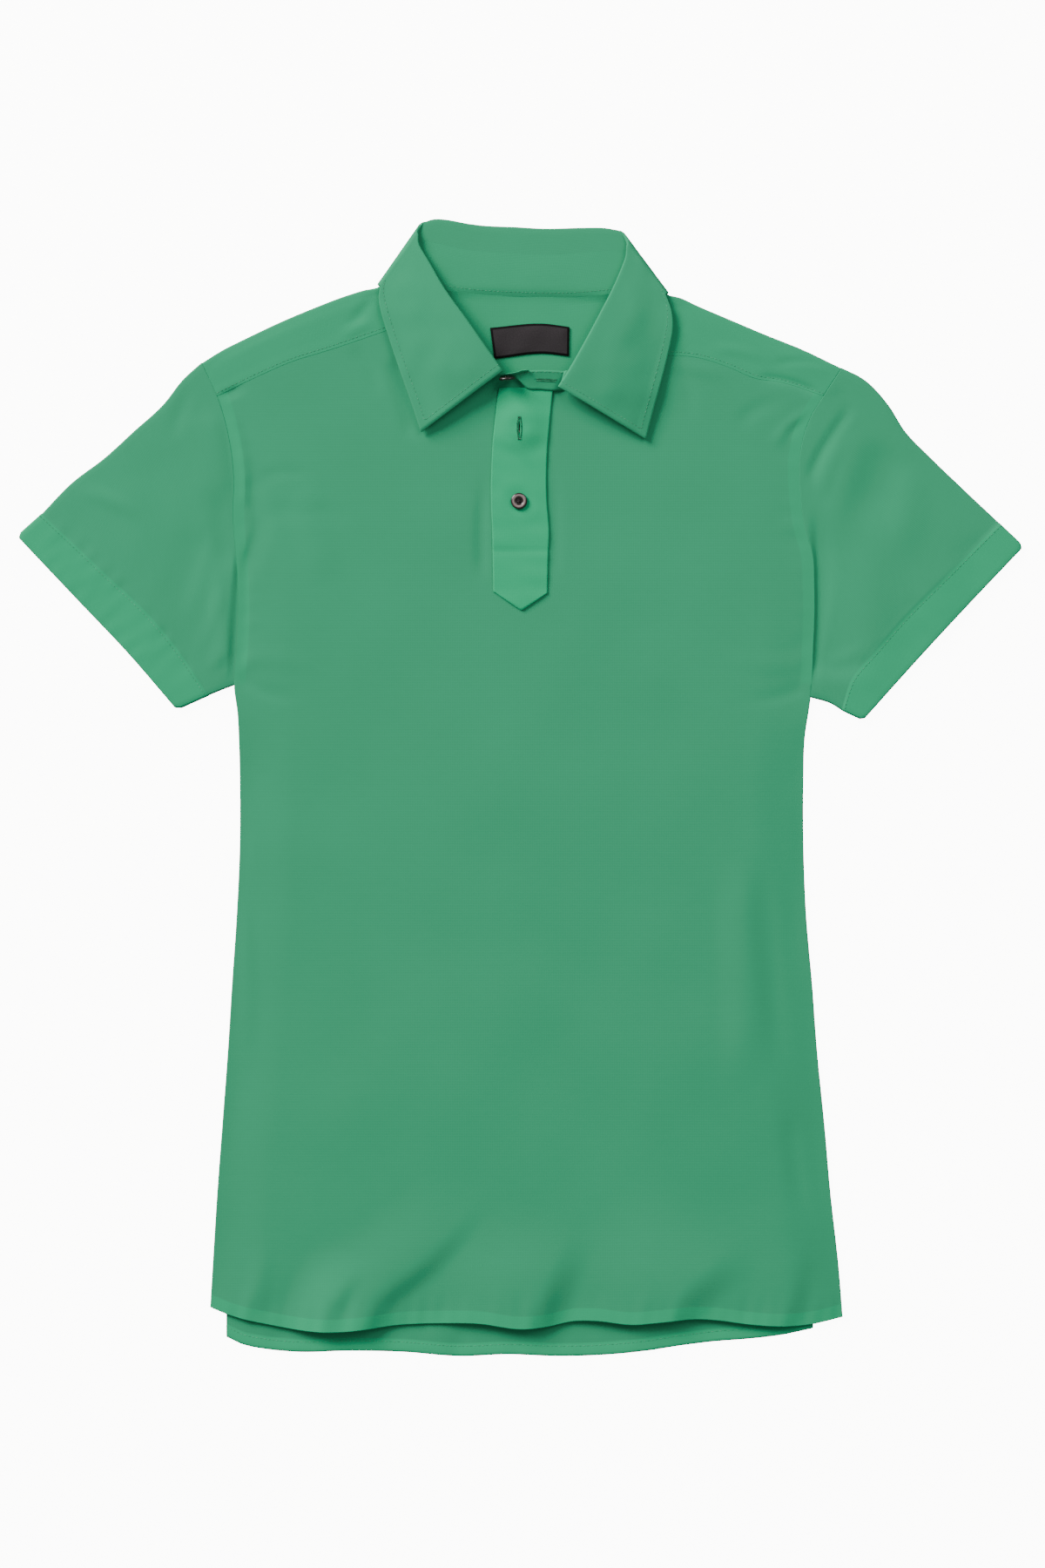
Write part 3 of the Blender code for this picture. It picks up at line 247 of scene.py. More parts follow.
def drift(x: Array, y: Array, length: float, seed: int, stretch: float = 1.0) -> Array:
    """Soft uneven waves, about 1 high, with no repeat.

    Args:
        x: places across.
        y: places along.
        length: usual distance from crest to crest.
        seed: which waves.
        stretch: above 1 the waves run long in x, below 1 long in y.

    Returns:
        The height at each place.
    """
    dice = np.random.default_rng(seed)
    total = np.zeros(np.broadcast(x, y).shape)
    count = 12
    for _ in range(count):
        turn, phase = dice.uniform(0, 2 * math.pi, 2)
        pitch = 2 * math.pi / (length * dice.uniform(0.7, 1.6))
        total = total + np.sin(pitch * (np.cos(turn) * x / stretch + np.sin(turn) * y) + phase)
    return total * math.sqrt(2 / count) * 0.7


def meshed(name: str, spots: list, faces: list, edges: Sequence = ()) -> Mesh:
    """A mesh from its points in metres.

    Args:
        name: what to call it.
        spots: the points.
        faces: corner indexes of its faces.
        edges: end indexes of its loose edges.

    Returns:
        The mesh.
    """
    mesh = bpy.data.meshes.new(name)
    mesh.from_pydata(spots, edges, faces)
    return mesh


def placed(name: str, data: bpy.types.ID | None) -> Object:
    """An object with its data, linked to the scene."""
    made = bpy.data.objects.new(name, data)
    bpy.context.collection.objects.link(made)
    return made


def settled(made: Object) -> Mesh:
    """An object's mesh with its modifiers carried out; the object goes."""
    graph = bpy.context.evaluated_depsgraph_get()
    mesh = bpy.data.meshes.new_from_object(made.evaluated_get(graph))
    bpy.data.objects.remove(made)
    return mesh


@dataclass(frozen=True)
class Crease:
    """A soft ridge, or a trough where its height is below 0, along a curved line."""

    line: Points
    height: float
    left: float                   # half width on the left of the line, seen along it
    right: float
    start: float = 0.25           # share of the line over which it rises; 0 starts at full height
    end: float = 0.45

    def lift(self, x: Array, y: Array) -> Array:
        """Height that the crease adds at each place.

        Args:
            x: places across.
            y: places along.

        Returns:
            The height.
        """
        path = along(self.line, shares(10))
        nearest = np.full(np.shape(x), 1e9)
        side = np.zeros(np.shape(x))
        reached = np.zeros(np.shape(x))
        for k, (a, b) in enumerate(zip(path, path[1:])):
            run = b - a
            t = np.clip(((x - a[0]) * run[0] + (y - a[1]) * run[1]) / (run @ run), 0, 1)
            dx, dy = x - a[0] - t * run[0], y - a[1] - t * run[1]
            away = np.hypot(dx, dy)
            closer = away < nearest
            nearest = np.where(closer, away, nearest)
            side = np.where(closer, run[0] * dy - run[1] * dx, side)
            reached = np.where(closer, (k + t) / (len(path) - 1), reached)
        width = np.where(side > 0, self.left, self.right)
        form = 0.5 + 0.5 * np.cos(math.pi * np.minimum(1.0, nearest / width))
        rise = smooth(reached / self.start) if self.start else 1.0
        fall = smooth((1 - reached) / self.end) if self.end else 1.0
        return self.height * form * rise * fall


def lifts(creases: Sequence[Crease], x: Array, y: Array) -> Array:
    """Sum of several creases."""
    total = np.zeros(np.broadcast(x, y).shape)
    for crease in creases:
        total = total + crease.lift(x, y)
    return total


def neck_lift(x: Array, y: Array) -> Array:
    """Rise of everything that lies over the back of the collar leaf."""
    edge = EDGE_LINE[0] + EDGE_LINE[1] * x
    return NECK_LIFT * smooth((y - edge + NECK_LIFT_RUN + 1) / NECK_LIFT_RUN)


# ---- folds and creases of the front, x and y in the frame ----
HEM_FOLDS = (
    # each rises slowly from the left and falls steeply on the right
    Crease(((-152, -425), (-143, -385), (-118, -350)), 2.6, 34, 15, 0.0, 0.5),
    Crease(((-128, -425), (-112, -384), (-72, -350), (-46, -322), (-28, -298)), 2.6, 50, 18, 0.0, 0.5),
    Crease(((-128, -425), (-112, -384), (-84, -358)), 4.2, 60, 32, 0.0, 0.9),
    Crease(((0, -425), (12, -384), (26, -350), (40, -322)), 4.8, 90, 26, 0.0, 0.7),
    Crease(((100, -425), (114, -384), (140, -356), (168, -330)), 4.8, 90, 28, 0.0, 0.7),
    Crease(((158, -425), (170, -370), (182, -300)), 2.2, 70, 56, 0.0, 0.7),
    Crease(((184, -425), (200, -380), (206, -330)), 1.4, 34, 16, 0.0, 0.6),
    Crease(((164, -50), (168, -142), (168, -235)), 1.2, 24, 24, 0.25, 0.33),
    Crease(((-166, 225), (-154, 188), (-142, 150)), 0.6, 20, 20, 0.25, 0.33),
)
FRONT_CREASES = (
    Crease(((-205, -405), (-196, -372), (-190, -330)), 0.7, 12, 12, 0.0, 0.6),
    # sides
    Crease(((176, -40), (184, -130), (198, -235)), -0.7, 15, 15),
    Crease(((200, -240), (206, -290), (214, -330)), -0.6, 10, 12),
    Crease(((-216, -60), (-205, -140), (-208, -230)), 0.6, 12, 14),
    # under the arms
    Crease(((-205, 184), (-207, 150), (-209, 112), (-212, 78)), -0.9, 8, 6, 0.2, 0.2),
    Crease(((-212, 84), (-190, 70), (-158, 66)), -0.8, 10, 7, 0.1, 0.7),
    Crease(((-211, 96), (-182, 96), (-140, 84)), 0.4, 12, 12, 0.1, 0.7),
    Crease(((214, 74), (188, 66), (152, 66)), -0.5, 7, 10, 0.1, 0.7),
    Crease(((214, 92), (180, 92), (140, 100)), 0.4, 12, 12, 0.1, 0.7),
    # along the armholes
    Crease(((-222, 284), (-211, 262), (-207, 240), (-205, 222), (-205, 204)), 1.1, 7, 7, 0.2, 0.3),
    Crease(((-202, 240), (-201, 215), (-197, 195), (-202, 176), (-208, 156)), -0.9, 16, 5, 0.2, 0.2),
    Crease(((-229, 290), (-217, 294), (-203, 300)), -1.3, 4, 5, 0.1, 0.5),
    Crease(((176, 307), (200, 303), (226, 293)), -1.2, 4, 5, 0.2, 0.2),
    Crease(((210, 260), (219, 274), (228, 287)), 0.7, 5, 5, 0.3, 0.3),
    # chest
    Crease(((-197, 231), (-177, 235), (-150, 232)), -0.4, 7, 9),
    Crease(((-198, 204), (-160, 206), (-118, 200)), -0.4, 12, 12),
    Crease(((196, 262), (210, 272), (224, 280)), -0.9, 5, 6),
    Crease(((186, 254), (204, 272), (222, 284)), 0.7, 7, 7),
    Crease(((160, 268), (176, 282), (200, 288)), -0.5, 9, 9),
    Crease(((-28, 150), (-29, 190), (-27, 240)), -1.1, 8, 7),
    Crease(((-79, 258), (-87, 288), (-97, 322)), -1.2, 9, 8, 0.2, 0.2),
    Crease(((26, 150), (27, 200), (25, 250)), -0.5, 6, 6),
    # beside the collar
    Crease(((-128, 330), (-112, 312), (-104, 288)), -0.7, 9, 9),
    Crease(((112, 322), (124, 300), (128, 270)), -0.6, 9, 9),
    Crease(((104, 318), (130, 312), (160, 305)), 0.6, 8, 8),
)
YOKE_CREASES = (
    Crease(((-126, 344), (-115, 358), (-107, 369)), -1.0, 6, 5),
    Crease(((-134, 336), (-118, 344), (-104, 347)), 0.8, 6, 6),
    Crease(((116, 330), (118, 345), (115, 358)), -0.8, 6, 6),
    Crease(((186, 314), (208, 318), (232, 313)), -0.6, 4, 4),
    Crease(((140, 327), (166, 325), (190, 317)), 0.6, 6, 6),
)


def body_relief(x: Array, y: Array) -> Array:
    """Small creases and unevenness of the front and the yoke's upper side."""
    made = 0.8 * (lifts(FRONT_CREASES, x, y) + lifts(YOKE_CREASES, x, y))
    made = made + 0.22 * drift(x, y, 120.0, 3, 1.4) + 0.10 * drift(x, y, 46.0, 4, 1.8)
    hem = smooth(1 - (y + 392) / 26)
    made = made + 0.16 * hem * drift(x, y * 0.3, 13.0, 5)
    for edge, seed in ((left_edge, 6), (right_edge, 7)):
        near = smooth(1 - np.abs(x - edge(y)) / 24) * smooth((y - 60) / 20)
        made = made + 0.22 * near * drift(x * 0.3, y, 17.0, seed)
    return made


def upper_level(x: Array, y: Array) -> Array:
    """Height of the middle of the front layer's wall."""
    x, y = np.asarray(x, float), np.asarray(y, float)
    inside = np.minimum(x - left_edge(y), right_edge(y) - x)
    rim = blend(SIDE_SEAM_LEVEL, UPPER_LEVEL, smooth((y - 5) / 55))
    level = rim + (UPPER_LEVEL + CROWN - rim) * smooth(inside / CROWN_RUN)
    folds = lifts(HEM_FOLDS, x, y) + body_relief(x, y)
    curl = blend(HEM_LIFT, HEM_DROOP, smooth((inside - 14) / 50)) * smooth(inside / 12)
    curl = curl * smooth((FRONT_BASE + HEM_LIFT_RUN - y) / HEM_LIFT_RUN)
    return level + folds * smooth((inside + 2) / 14) + curl + neck_lift(x, y)


# ---- finishes ----
def linear(code: str) -> tuple[float, float, float, float]:
    """An sRGB hex colour as linear red, green, blue and alpha."""
    parts = [int(code[k:k + 2], 16) / 255 for k in (1, 3, 5)]
    return tuple(p / 12.92 if p <= 0.04045 else ((p + 0.055) / 1.055) ** 2.4 for p in parts) + (1.0,)


def wire(tree: Tree, made: Node, given: dict) -> Node:
    """Set a node's properties and inputs, and link what feeds it.

    Args:
        tree: the node's tree.
        made: the node.
        given: properties by name; values, nodes or sockets by the input's name or number.

    Returns:
        The same node.
    """
    for key, value in given.items():
        value = value.outputs[0] if isinstance(value, Node) else value
        if isinstance(value, Socket):
            tree.links.new(value, made.inputs[key])
        elif isinstance(key, str) and hasattr(made, key):
            setattr(made, key, value)
        else:
            made.inputs[key].default_value = value
    return made


def node(tree: Tree, kind: str, given: dict | None = None) -> Node:
    """Add a node with its settings and links, as wire takes them."""
    return wire(tree, tree.nodes.new(kind), given or {})


@dataclass(frozen=True)
class Finish:
    """A surface: what it is made of and how its shader is set."""

    name: str
    roughness: float
    specular: float
    sheen: float = 0.0
    coat: float = 0.0

    def shader(self) -> tuple[Material, Tree, Node]:
        """A new material with its Principled shader set.

        Returns:
            The material, its tree and its shader.
        """
        made = bpy.data.materials.new(self.name)
        made.use_nodes = True
        shader = made.node_tree.nodes["Principled BSDF"]
        wire(made.node_tree, shader, {"Roughness": self.roughness, "Specular IOR Level": self.specular,
                                      "Sheen Weight": self.sheen, "Coat Weight": self.coat})
        return made, made.node_tree, shader


@dataclass(frozen=True)
class Jersey(Finish):
    """Piece-dyed cotton jersey, plain knitted: matt, a little fuzzy, with fine upright wales.

    The wales of the real cloth are 0.8 mm apart, too fine to show; they are drawn 1.3 mm apart.
    """

    base: str = "#309D6F"
    deep: str = "#309468"
    double_layer_light: str = "#16B076"      # two layers are more opaque; painted light: lighter, as less of the shaded inside shows through
    wale: float = 1.3
    course: float = 1.0
    knit_depth: float = 0.10      # mm of relief

    def make(self) -> Material:
        """The cloth's material, on the piece's own cut coordinates in metres.

        Returns:
            The material.
        """
        made, tree, shader = self.shader()
        cut = node(tree, UV_MAP, {"uv_map": "cut"})
        split = node(tree, "ShaderNodeSeparateXYZ", {0: cut})

        def ribs(source: Socket | Node, pitch: float) -> Node:
            """Even ridges, 0 to 1 high, pitch mm apart across one coordinate."""
            turn = node(tree, MATH, {"operation": "MULTIPLY", 0: source, 1: math.pi / (pitch * MM)})
            return node(tree, MATH, {"operation": "ABSOLUTE",
                                     0: node(tree, MATH, {"operation": "SINE", 0: turn})})

        courses = ribs(split.outputs[1], self.course)
        bent = node(tree, MATH, {"operation": "MULTIPLY_ADD", 0: courses, 1: 0.35 * self.wale * MM,
                                 2: split.outputs[0]})
        knit = node(tree, MATH, {"operation": "MULTIPLY", 0: ribs(bent, self.wale), 1: courses})
        fuzz = node(tree, NOISE, {"Scale": 1 / (1.1 * MM), "Detail": 2.0, "Vector": cut})
        slub = node(tree, "ShaderNodeMapping", {"Scale": (1.0, 3.0, 1.0), "Vector": cut})
        slub = node(tree, NOISE, {"Scale": 1 / (14 * MM), "Detail": 3.0, "Vector": slub})
        cloud = node(tree, NOISE, {"Scale": 1 / (95 * MM), "Detail": 2.0, "Vector": cut})

        # dye: slow clouds and short darker streaks along the courses; painted shade: darker between the
        # loops
        tone = node(tree, RANGE, {"From Min": 0.3, "From Max": 0.7, "To Min": 0.35, "To Max": 0.65,
                                  "Value": cloud.outputs["Fac"]})
        streak = node(tree, RANGE, {"From Min": 0.35, "From Max": 0.65, "To Min": -0.05, "To Max": 0.05,
                                    "Value": slub.outputs["Fac"]})
        loop_gap_shade = node(tree, MATH, {"operation": "MULTIPLY_ADD", 0: knit, 1: -0.5, 2: 0.22})
        for part in (streak, loop_gap_shade):
            tone = node(tree, MATH, {"operation": "ADD", 0: tone, 1: part})
        colour = node(tree, MIX, {"data_type": "RGBA", 0: tone, 6: linear(self.base),
                                  7: linear(self.deep)})
        # painted light: lighter where the cloth lies double, as less of the shaded inside shows through
        band = node(tree, ATTRIBUTE, {"attribute_name": "double_layer_light"})
        colour = node(tree, MIX, {"data_type": "RGBA", 0: band.outputs["Fac"], 6: colour.outputs[2],
                                  7: linear(self.double_layer_light)})

        # relief: loops and loose fibre
        rough = node(tree, MATH, {"operation": "MULTIPLY_ADD", 0: fuzz.outputs["Fac"], 1: 0.8, 2: knit})
        bump = node(tree, BUMP, {"Strength": 0.35, "Distance": self.knit_depth * MM, "Height": rough})
        wire(tree, shader, {"Base Color": colour.outputs[2], "Normal": bump})
        return made


@dataclass(frozen=True)
class Thread(Finish):
    """Spun polyester sewing thread, dyed to the cloth: two plies twisted, slightly shiny."""

    # light and dark: the painted highlight on the plies and the painted shade between them
    light: str = "#58A983"
    dark: str = "#3A7F5F"
    twist: float = 0.5            # mm from ply to ply

    def make(self) -> Material:
        """The thread's material, with slanted plies on Object coordinates.

        Returns:
            The material.
        """
        made, tree, shader = self.shader()
        place = node(tree, COORDINATES).outputs["Object"]
        plies = node(tree, "ShaderNodeTexWave", {
            "bands_direction": "DIAGONAL", "Distortion": 1.5, "Scale": 1 / (self.twist * MM * 20),
            "Vector": place}).outputs["Fac"]
        # painted highlight and shade: lighter on the plies, darker between them
        colour = node(tree, MIX, {"data_type": "RGBA", 0: plies, 6: linear(self.dark),
                                  7: linear(self.light)})
        bump = node(tree, BUMP, {"Strength": 0.4, "Distance": 0.05 * MM, "Height": plies})
        wire(tree, shader, {"Base Color": colour.outputs[2], "Normal": bump})
        return made


@dataclass(frozen=True)
class LabelWeave(Finish):
    """Damask-woven polyester tape: charcoal satin with a black border, fine rows across it."""

    ground: str = "#232022"
    raised: str = "#3E393B"       # the threads that lie on top
    border: str = "#0E0C0D"
    row: float = 0.55             # mm between rows
    edge: float = 1.3             # width of the border
    edge_blur: float = 0.3

    def make(self, width: float, height: float) -> Material:
        """The label's material.

        Args:
            width: the label's width in mm.
            height: its height in mm.

        Returns:
            The material, on the label's cut coordinates in metres.
        """
        made, tree, shader = self.shader()
        cut = node(tree, UV_MAP, {"uv_map": "cut"})
        split = node(tree, "ShaderNodeSeparateXYZ", {0: cut})
        rims = []
        for source, size in ((split.outputs[0], width), (split.outputs[1], height)):
            middle = node(tree, MATH, {"operation": "SUBTRACT", 0: source, 1: size / 2 * MM})
            away = node(tree, MATH, {"operation": "ABSOLUTE", 0: middle})
            rims.append(node(tree, RANGE, {
                "From Min": (size / 2 - self.edge - self.edge_blur) * MM,
                "From Max": (size / 2 - self.edge) * MM, "Value": away}))
        rim = node(tree, MATH, {"operation": "MAXIMUM", 0: rims[0], 1: rims[1]})
        turn = node(tree, MATH, {"operation": "MULTIPLY", 0: split.outputs[1],
                                 1: 2 * math.pi / (self.row * MM)})
        rows = node(tree, MATH, {"operation": "SINE", 0: turn})
        grain = node(tree, NOISE, {"Scale": 1 / (0.8 * MM), "Vector": cut}).outputs["Fac"]
        weave = node(tree, MATH, {"operation": "MULTIPLY_ADD", 0: rows, 1: 0.5, 2: grain})
        ground = node(tree, MIX, {"data_type": "RGBA", 0: grain, 6: linear(self.ground),
                                  7: linear(self.raised)})
        colour = node(tree, MIX, {"data_type": "RGBA", 0: rim, 6: ground.outputs[2],
                                  7: linear(self.border)})
        bump = node(tree, BUMP, {"Strength": 0.4, "Distance": 0.06 * MM, "Height": weave})
        wire(tree, shader, {"Base Color": colour.outputs[2], "Normal": bump})
        return made


@dataclass(frozen=True)
class ButtonResin(Finish):
    """Cast polyester resin, turned and tumbled: dark brown, with a painted highlight on the upper crest of
    its rim.
    """

    # colour of the painted highlight on the rim's upper crest
    rim: str = "#8E7B79"
    well: str = "#1C1112"
    vein: str = "#5A4543"

    def make(self) -> Material:
        """The button's material: a painted highlight from its own attribute, faint cloudy veins.

        Returns:
            The material.
        """
        made, tree, shader = self.shader()
        place = node(tree, COORDINATES).outputs["Object"]
        cloud = node(tree, NOISE, {"Scale": 1 / (3.5 * MM), "Detail": 3.0, "Distortion": 1.2,
                                   "Vector": place}).outputs["Fac"]
        rim_highlight = node(tree, ATTRIBUTE, {"attribute_name": "rim_highlight"}).outputs["Fac"]
        colour = node(tree, MIX, {"data_type": "RGBA", 0: rim_highlight, 6: linear(self.well), 7: linear(self.rim)})
        vein = node(tree, RANGE, {"From Min": 0.52, "From Max": 0.7, "To Max": 0.5, "Value": cloud})
        colour = node(tree, MIX, {"data_type": "RGBA", 0: vein, 6: colour.outputs[2],
                                  7: linear(self.vein)})
        bump = node(tree, BUMP, {"Strength": 0.15, "Distance": 0.05 * MM, "Height": cloud})
        wire(tree, shader, {"Base Color": colour.outputs[2], "Normal": bump})
        return made


@dataclass(frozen=True)
class Board(Finish):
    """Painted table board, mid grey and matt."""

    colour: str = "#8A8A88"

    def make(self) -> Material:
        """The board's material."""
        made, tree, shader = self.shader()
        wire(tree, shader, {"Base Color": linear(self.colour)})
        return made


@dataclass(frozen=True)
class Paper(Finish):
    """Seamless background paper: white, matt, with a faint tooth."""

    colour: str = "#F4F4F2"
    glow: float = 12.0            # light that comes through from the lamps below the table

    def make(self) -> Material:
        """The paper's material.

        Returns:
            The material.
        """
        made, tree, shader = self.shader()
        place = node(tree, COORDINATES).outputs["Object"]
        tooth = node(tree, NOISE, {"Scale": 400.0, "Vector": place}).outputs["Fac"]
        bump = node(tree, BUMP, {"Strength": 0.05, "Distance": 0.1 * MM, "Height": tooth})
        wire(tree, shader, {"Base Color": linear(self.colour), "Emission Color": linear(self.colour),
                            "Emission Strength": self.glow, "Normal": bump})
        return made


# ---- cloth walls ----
@dataclass
class Sheet:
    """A grid of points in the middle of a cloth wall, in mm, thickened into a closed wall."""

    name: str
    points: Array                        # rows x columns x 3
    cut: Array                           # the same grid in the cut cloth; a tube's has one more column
    raised: Array | None = None          # extra thickness on the outer side
    double_layer_light: Array | None = None         # 1 where the cloth lies double and is painted lighter
    open_cells: Array | None = None      # True where there is no cloth
    closed: bool = False                 # the last column joins the first
    flip: bool = False
    thickness: float = CLOTH
    rim: Array | float = RIM
    area: float = field(init=False)      # of the cut, in square metres
    normals: Array = field(init=False)
    cells: Array = field(init=False)
    cut_cells: Array = field(init=False)

    def __post_init__(self) -> None:
        """Work out the faces and each point's outward direction."""
        rows, wide = self.points.shape[:2]
        index = np.arange(rows * wide).reshape(rows, wide)
        if self.closed:
            index = np.hstack([index, index[:, :1]])
        spread = np.arange(self.cut.shape[0] * self.cut.shape[1]).reshape(self.cut.shape[:2])
        self.cells, self.cut_cells = self.quads(index), self.quads(spread)
        flat = self.points.reshape(-1, 3)
        corners = flat[self.cells]
        faces = np.cross(corners[:, 2] - corners[:, 0], corners[:, 3] - corners[:, 1])
        self.area = float(norm(faces, axis=1).sum() / 2 * MM * MM)
        total = np.zeros_like(flat)
        for k in range(4):
            np.add.at(total, self.cells[:, k], faces)
        self.normals = total / np.maximum(norm(total, axis=1, keepdims=True), 1e-9)

    def quads(self, index: Array) -> Array:
        """Corner indexes of every cell that has cloth, outer side up."""
        ring = [index[:-1, :-1], index[1:, :-1], index[1:, 1:], index[:-1, 1:]]
        quads = np.stack(ring[::-1] if self.flip else ring, axis=-1)
        if self.open_cells is not None:
            quads = quads[~self.open_cells]
        return quads.reshape(-1, 4)

    def outer(self) -> Array:
        """Points of the outer surface, as a grid."""
        extra = self.raised.reshape(-1, 1) if self.raised is not None else 0.0
        shell = self.points.reshape(-1, 3) + self.normals * (self.thickness / 2 + extra)
        return shell.reshape(self.points.shape)

    def trace(self, i: Array, j: Array, out: float, under: bool = False) -> Array:
        """Points on the surface at places between the grid's points.

        Args:
            i: places along the first index.
            j: places along the second index.
            out: how far the points stand off the cloth.
            under: True for the inner side.

        Returns:
            The points, in mm.
        """
        normals = self.normals.reshape(self.points.shape)
        if under:
            grid = self.points - normals * (self.thickness / 2 + out)
        else:
            grid = self.outer() + normals * out
        i = np.clip(i, 0, grid.shape[0] - 1.001)
        j = np.clip(j, 0, grid.shape[1] - 1.001)
        a, b = i.astype(int), j.astype(int)
        u, v = (i - a)[:, None], (j - b)[:, None]
        return blend(blend(grid[a, b], grid[a + 1, b], u),
                     blend(grid[a, b + 1], grid[a + 1, b + 1], u), v)

    def build(self, finish: Material) -> Object:
        """Make the closed wall: outer side, inner side and a rounded rim.

        Args:
            finish: the cloth's material.

        Returns:
            The piece, at the origin.
        """
        flat = self.points.reshape(-1, 3)
        outer = self.outer().reshape(-1, 3)
        inner = flat - self.normals * self.thickness / 2
        count = len(flat)
        starts = self.cells.reshape(-1)
        ends = np.roll(self.cells, -1, axis=1).reshape(-1)
        low, high = np.minimum(starts, ends), np.maximum(starts, ends)
        _, where, times = np.unique(low * count + high, return_inverse=True, return_counts=True)
        rim = times[where] == 1
        a, b = starts[rim], ends[rim]
        cut_a = self.cut_cells.reshape(-1)[rim]
        cut_b = np.roll(self.cut_cells, -1, axis=1).reshape(-1)[rim]
        away = np.cross(flat[b] - flat[a], self.normals[a] + self.normals[b])
        away /= np.maximum(norm(away, axis=1, keepdims=True), 1e-9)
        push = np.zeros_like(flat)
        np.add.at(push, a, away)
        np.add.at(push, b, away)
        push /= np.maximum(norm(push, axis=1, keepdims=True), 1e-9)
        swell = np.broadcast_to(self.rim, self.points.shape[:2]).reshape(-1, 1)
        edge = (outer + inner) / 2 + push * self.thickness * swell

        faces = np.vstack([
            self.cells,
            self.cells[:, ::-1] + count,
            np.stack([b, a, a + 2 * count, b + 2 * count], axis=1),
            np.stack([b + 2 * count, a + 2 * count, a + count, b + count], axis=1),
        ])
        side = np.stack([cut_b, cut_a, cut_a, cut_b], axis=1)
        spread = np.vstack([self.cut_cells, self.cut_cells[:, ::-1], side, side])
        used, packed = np.unique(faces, return_inverse=True)
        spots = np.vstack([outer, inner, edge])[used] * MM
        mesh = meshed(self.name, spots.tolist(), packed.reshape(-1, 4).tolist())
        layer = mesh.uv_layers.new(name="cut")
        layer.data.foreach_set("uv", (self.cut.reshape(-1, 2)[spread.reshape(-1)] * MM).reshape(-1))
        tone = np.zeros(count) if self.double_layer_light is None else self.double_layer_light.reshape(-1)
        mark = mesh.attributes.new("double_layer_light", "FLOAT", "POINT")
        mark.data.foreach_set("value", np.tile(tone, 3)[used])
        mesh.materials.append(finish)
        mesh.shade_smooth()
        mesh.set_sharp_from_angle(angle=math.radians(75))
        mesh.update()
        return placed(self.name, mesh)

    def dress(self, finish: Material, flat: tuple[float, float], rests_on: Sequence[str],
              cad_node: str, slot: str = "jersey") -> Object:
        """Build the wall, hang it on the root and hide the solid that it stands for.

        Args:
            finish: the cloth's material.
            flat: width and length of the cut in mm; not used.
            rests_on: what it lies on; not used.
            cad_node: the solid that it stands for.
            slot: the record's material slot; not used.

        Returns:
            The piece.
        """
        made = self.build(finish)
        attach(made, "root")
        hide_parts(cad_node)
        return made


# ---- body panels ----
def spaced(*spans: tuple[float, float, int]) -> Array:
    """Values over several spans (start, end, spaces), each shared end once."""
    made = [np.linspace(start, end, count + 1)[1:] for start, end, count in spans]
    return np.concatenate([[spans[0][0]], *made])


@dataclass
class BackPanel:
    """The back: flat on the surface below the yoke, its hem turned to the inside."""

    across: int = 120
    below: int = 110
    above: int = 50
    creases: tuple[Crease, ...] = (
        Crease(((-150, 262), (-120, 180), (-110, 90)), 0.5, 16, 16),
        Crease(((140, 262), (122, 170), (118, 60)), 0.5, 16, 16),
        Crease(((-60, -410), (-40, -340), (-10, -280)), 0.7, 18, 18, 0.0, 0.5),
        Crease(((90, -405), (112, -350), (120, -290)), 0.6, 16, 16, 0.0, 0.5),
        Crease(((-190, -400), (-176, -340), (-170, -280)), 0.5, 14, 14, 0.0, 0.5),
        Crease(((10, 265), (4, 160), (-6, 40)), 0.4, 22, 22),
    )
    sheet: Sheet = field(init=False)

    def heights(self, bottom: float) -> Array:
        """Rows of one column, from the hem to the yoke seam."""
        top = BACK_YOKE_SEAM - 0.2
        base = bottom + HEM_WIDTH + STEP_WIDTH
        hem = bottom + np.array(HEM_ROWS)[:, 0]
        middle = blend(base, top, 0.68)
        return np.concatenate([hem, spaced((base, middle, self.below), (middle, top, self.above))])

    def plan(self) -> Sheet:
        """Lay out the panel."""
        rows = []
        for u in lipped(self.across, 0.0012):
            hem_x = blend(BACK_HEM[0][0], BACK_HEM[-1][0], u)
            y = self.heights(float(column(BACK_HEM, hem_x)))
            tuck = smooth((BACK_INSET_RUN[0] - y) / (BACK_INSET_RUN[0] - BACK_INSET_RUN[1]))
            left = left_edge(y) + BACK_INSET[0] * tuck
            right = right_edge(y) - BACK_INSET[1] * tuck
            x = blend(left, right, u)
            inside = smooth((np.minimum(x - left, right - x) + 2) / 20)
            lift = lifts(self.creases, x, y) + 0.18 * (1 + drift(x, y, 80.0, 11))
            hem = smooth(1 - (y - y[0]) / 26)
            lift = lift + 0.10 * hem * (1 + drift(x, y * 0.3, 12.0, 12))
            rows.append(np.stack([x, y, FLOOR_LEVEL + np.clip(lift, 0.0, 1.1) * inside], axis=-1))
        points = np.array(rows)
        raised = np.zeros(points.shape[:2])
        raised[:, :len(HEM_ROWS)] = np.array(HEM_ROWS)[:, 1] * 0.7
        points[..., 2] += raised              # the hem is turned to the inside
        double_layer_light = np.zeros(points.shape[:2])
        double_layer_light[:, :len(HEM_ROWS)] = HEM_PAINTED_LIGHT
        self.sheet = Sheet("back_panel", points, points[..., :2], raised, double_layer_light, flip=True)
        return self.sheet

    def make(self, finish: Material) -> Object:
        return self.plan().dress(finish, (461.0, 695.5), (), "back")


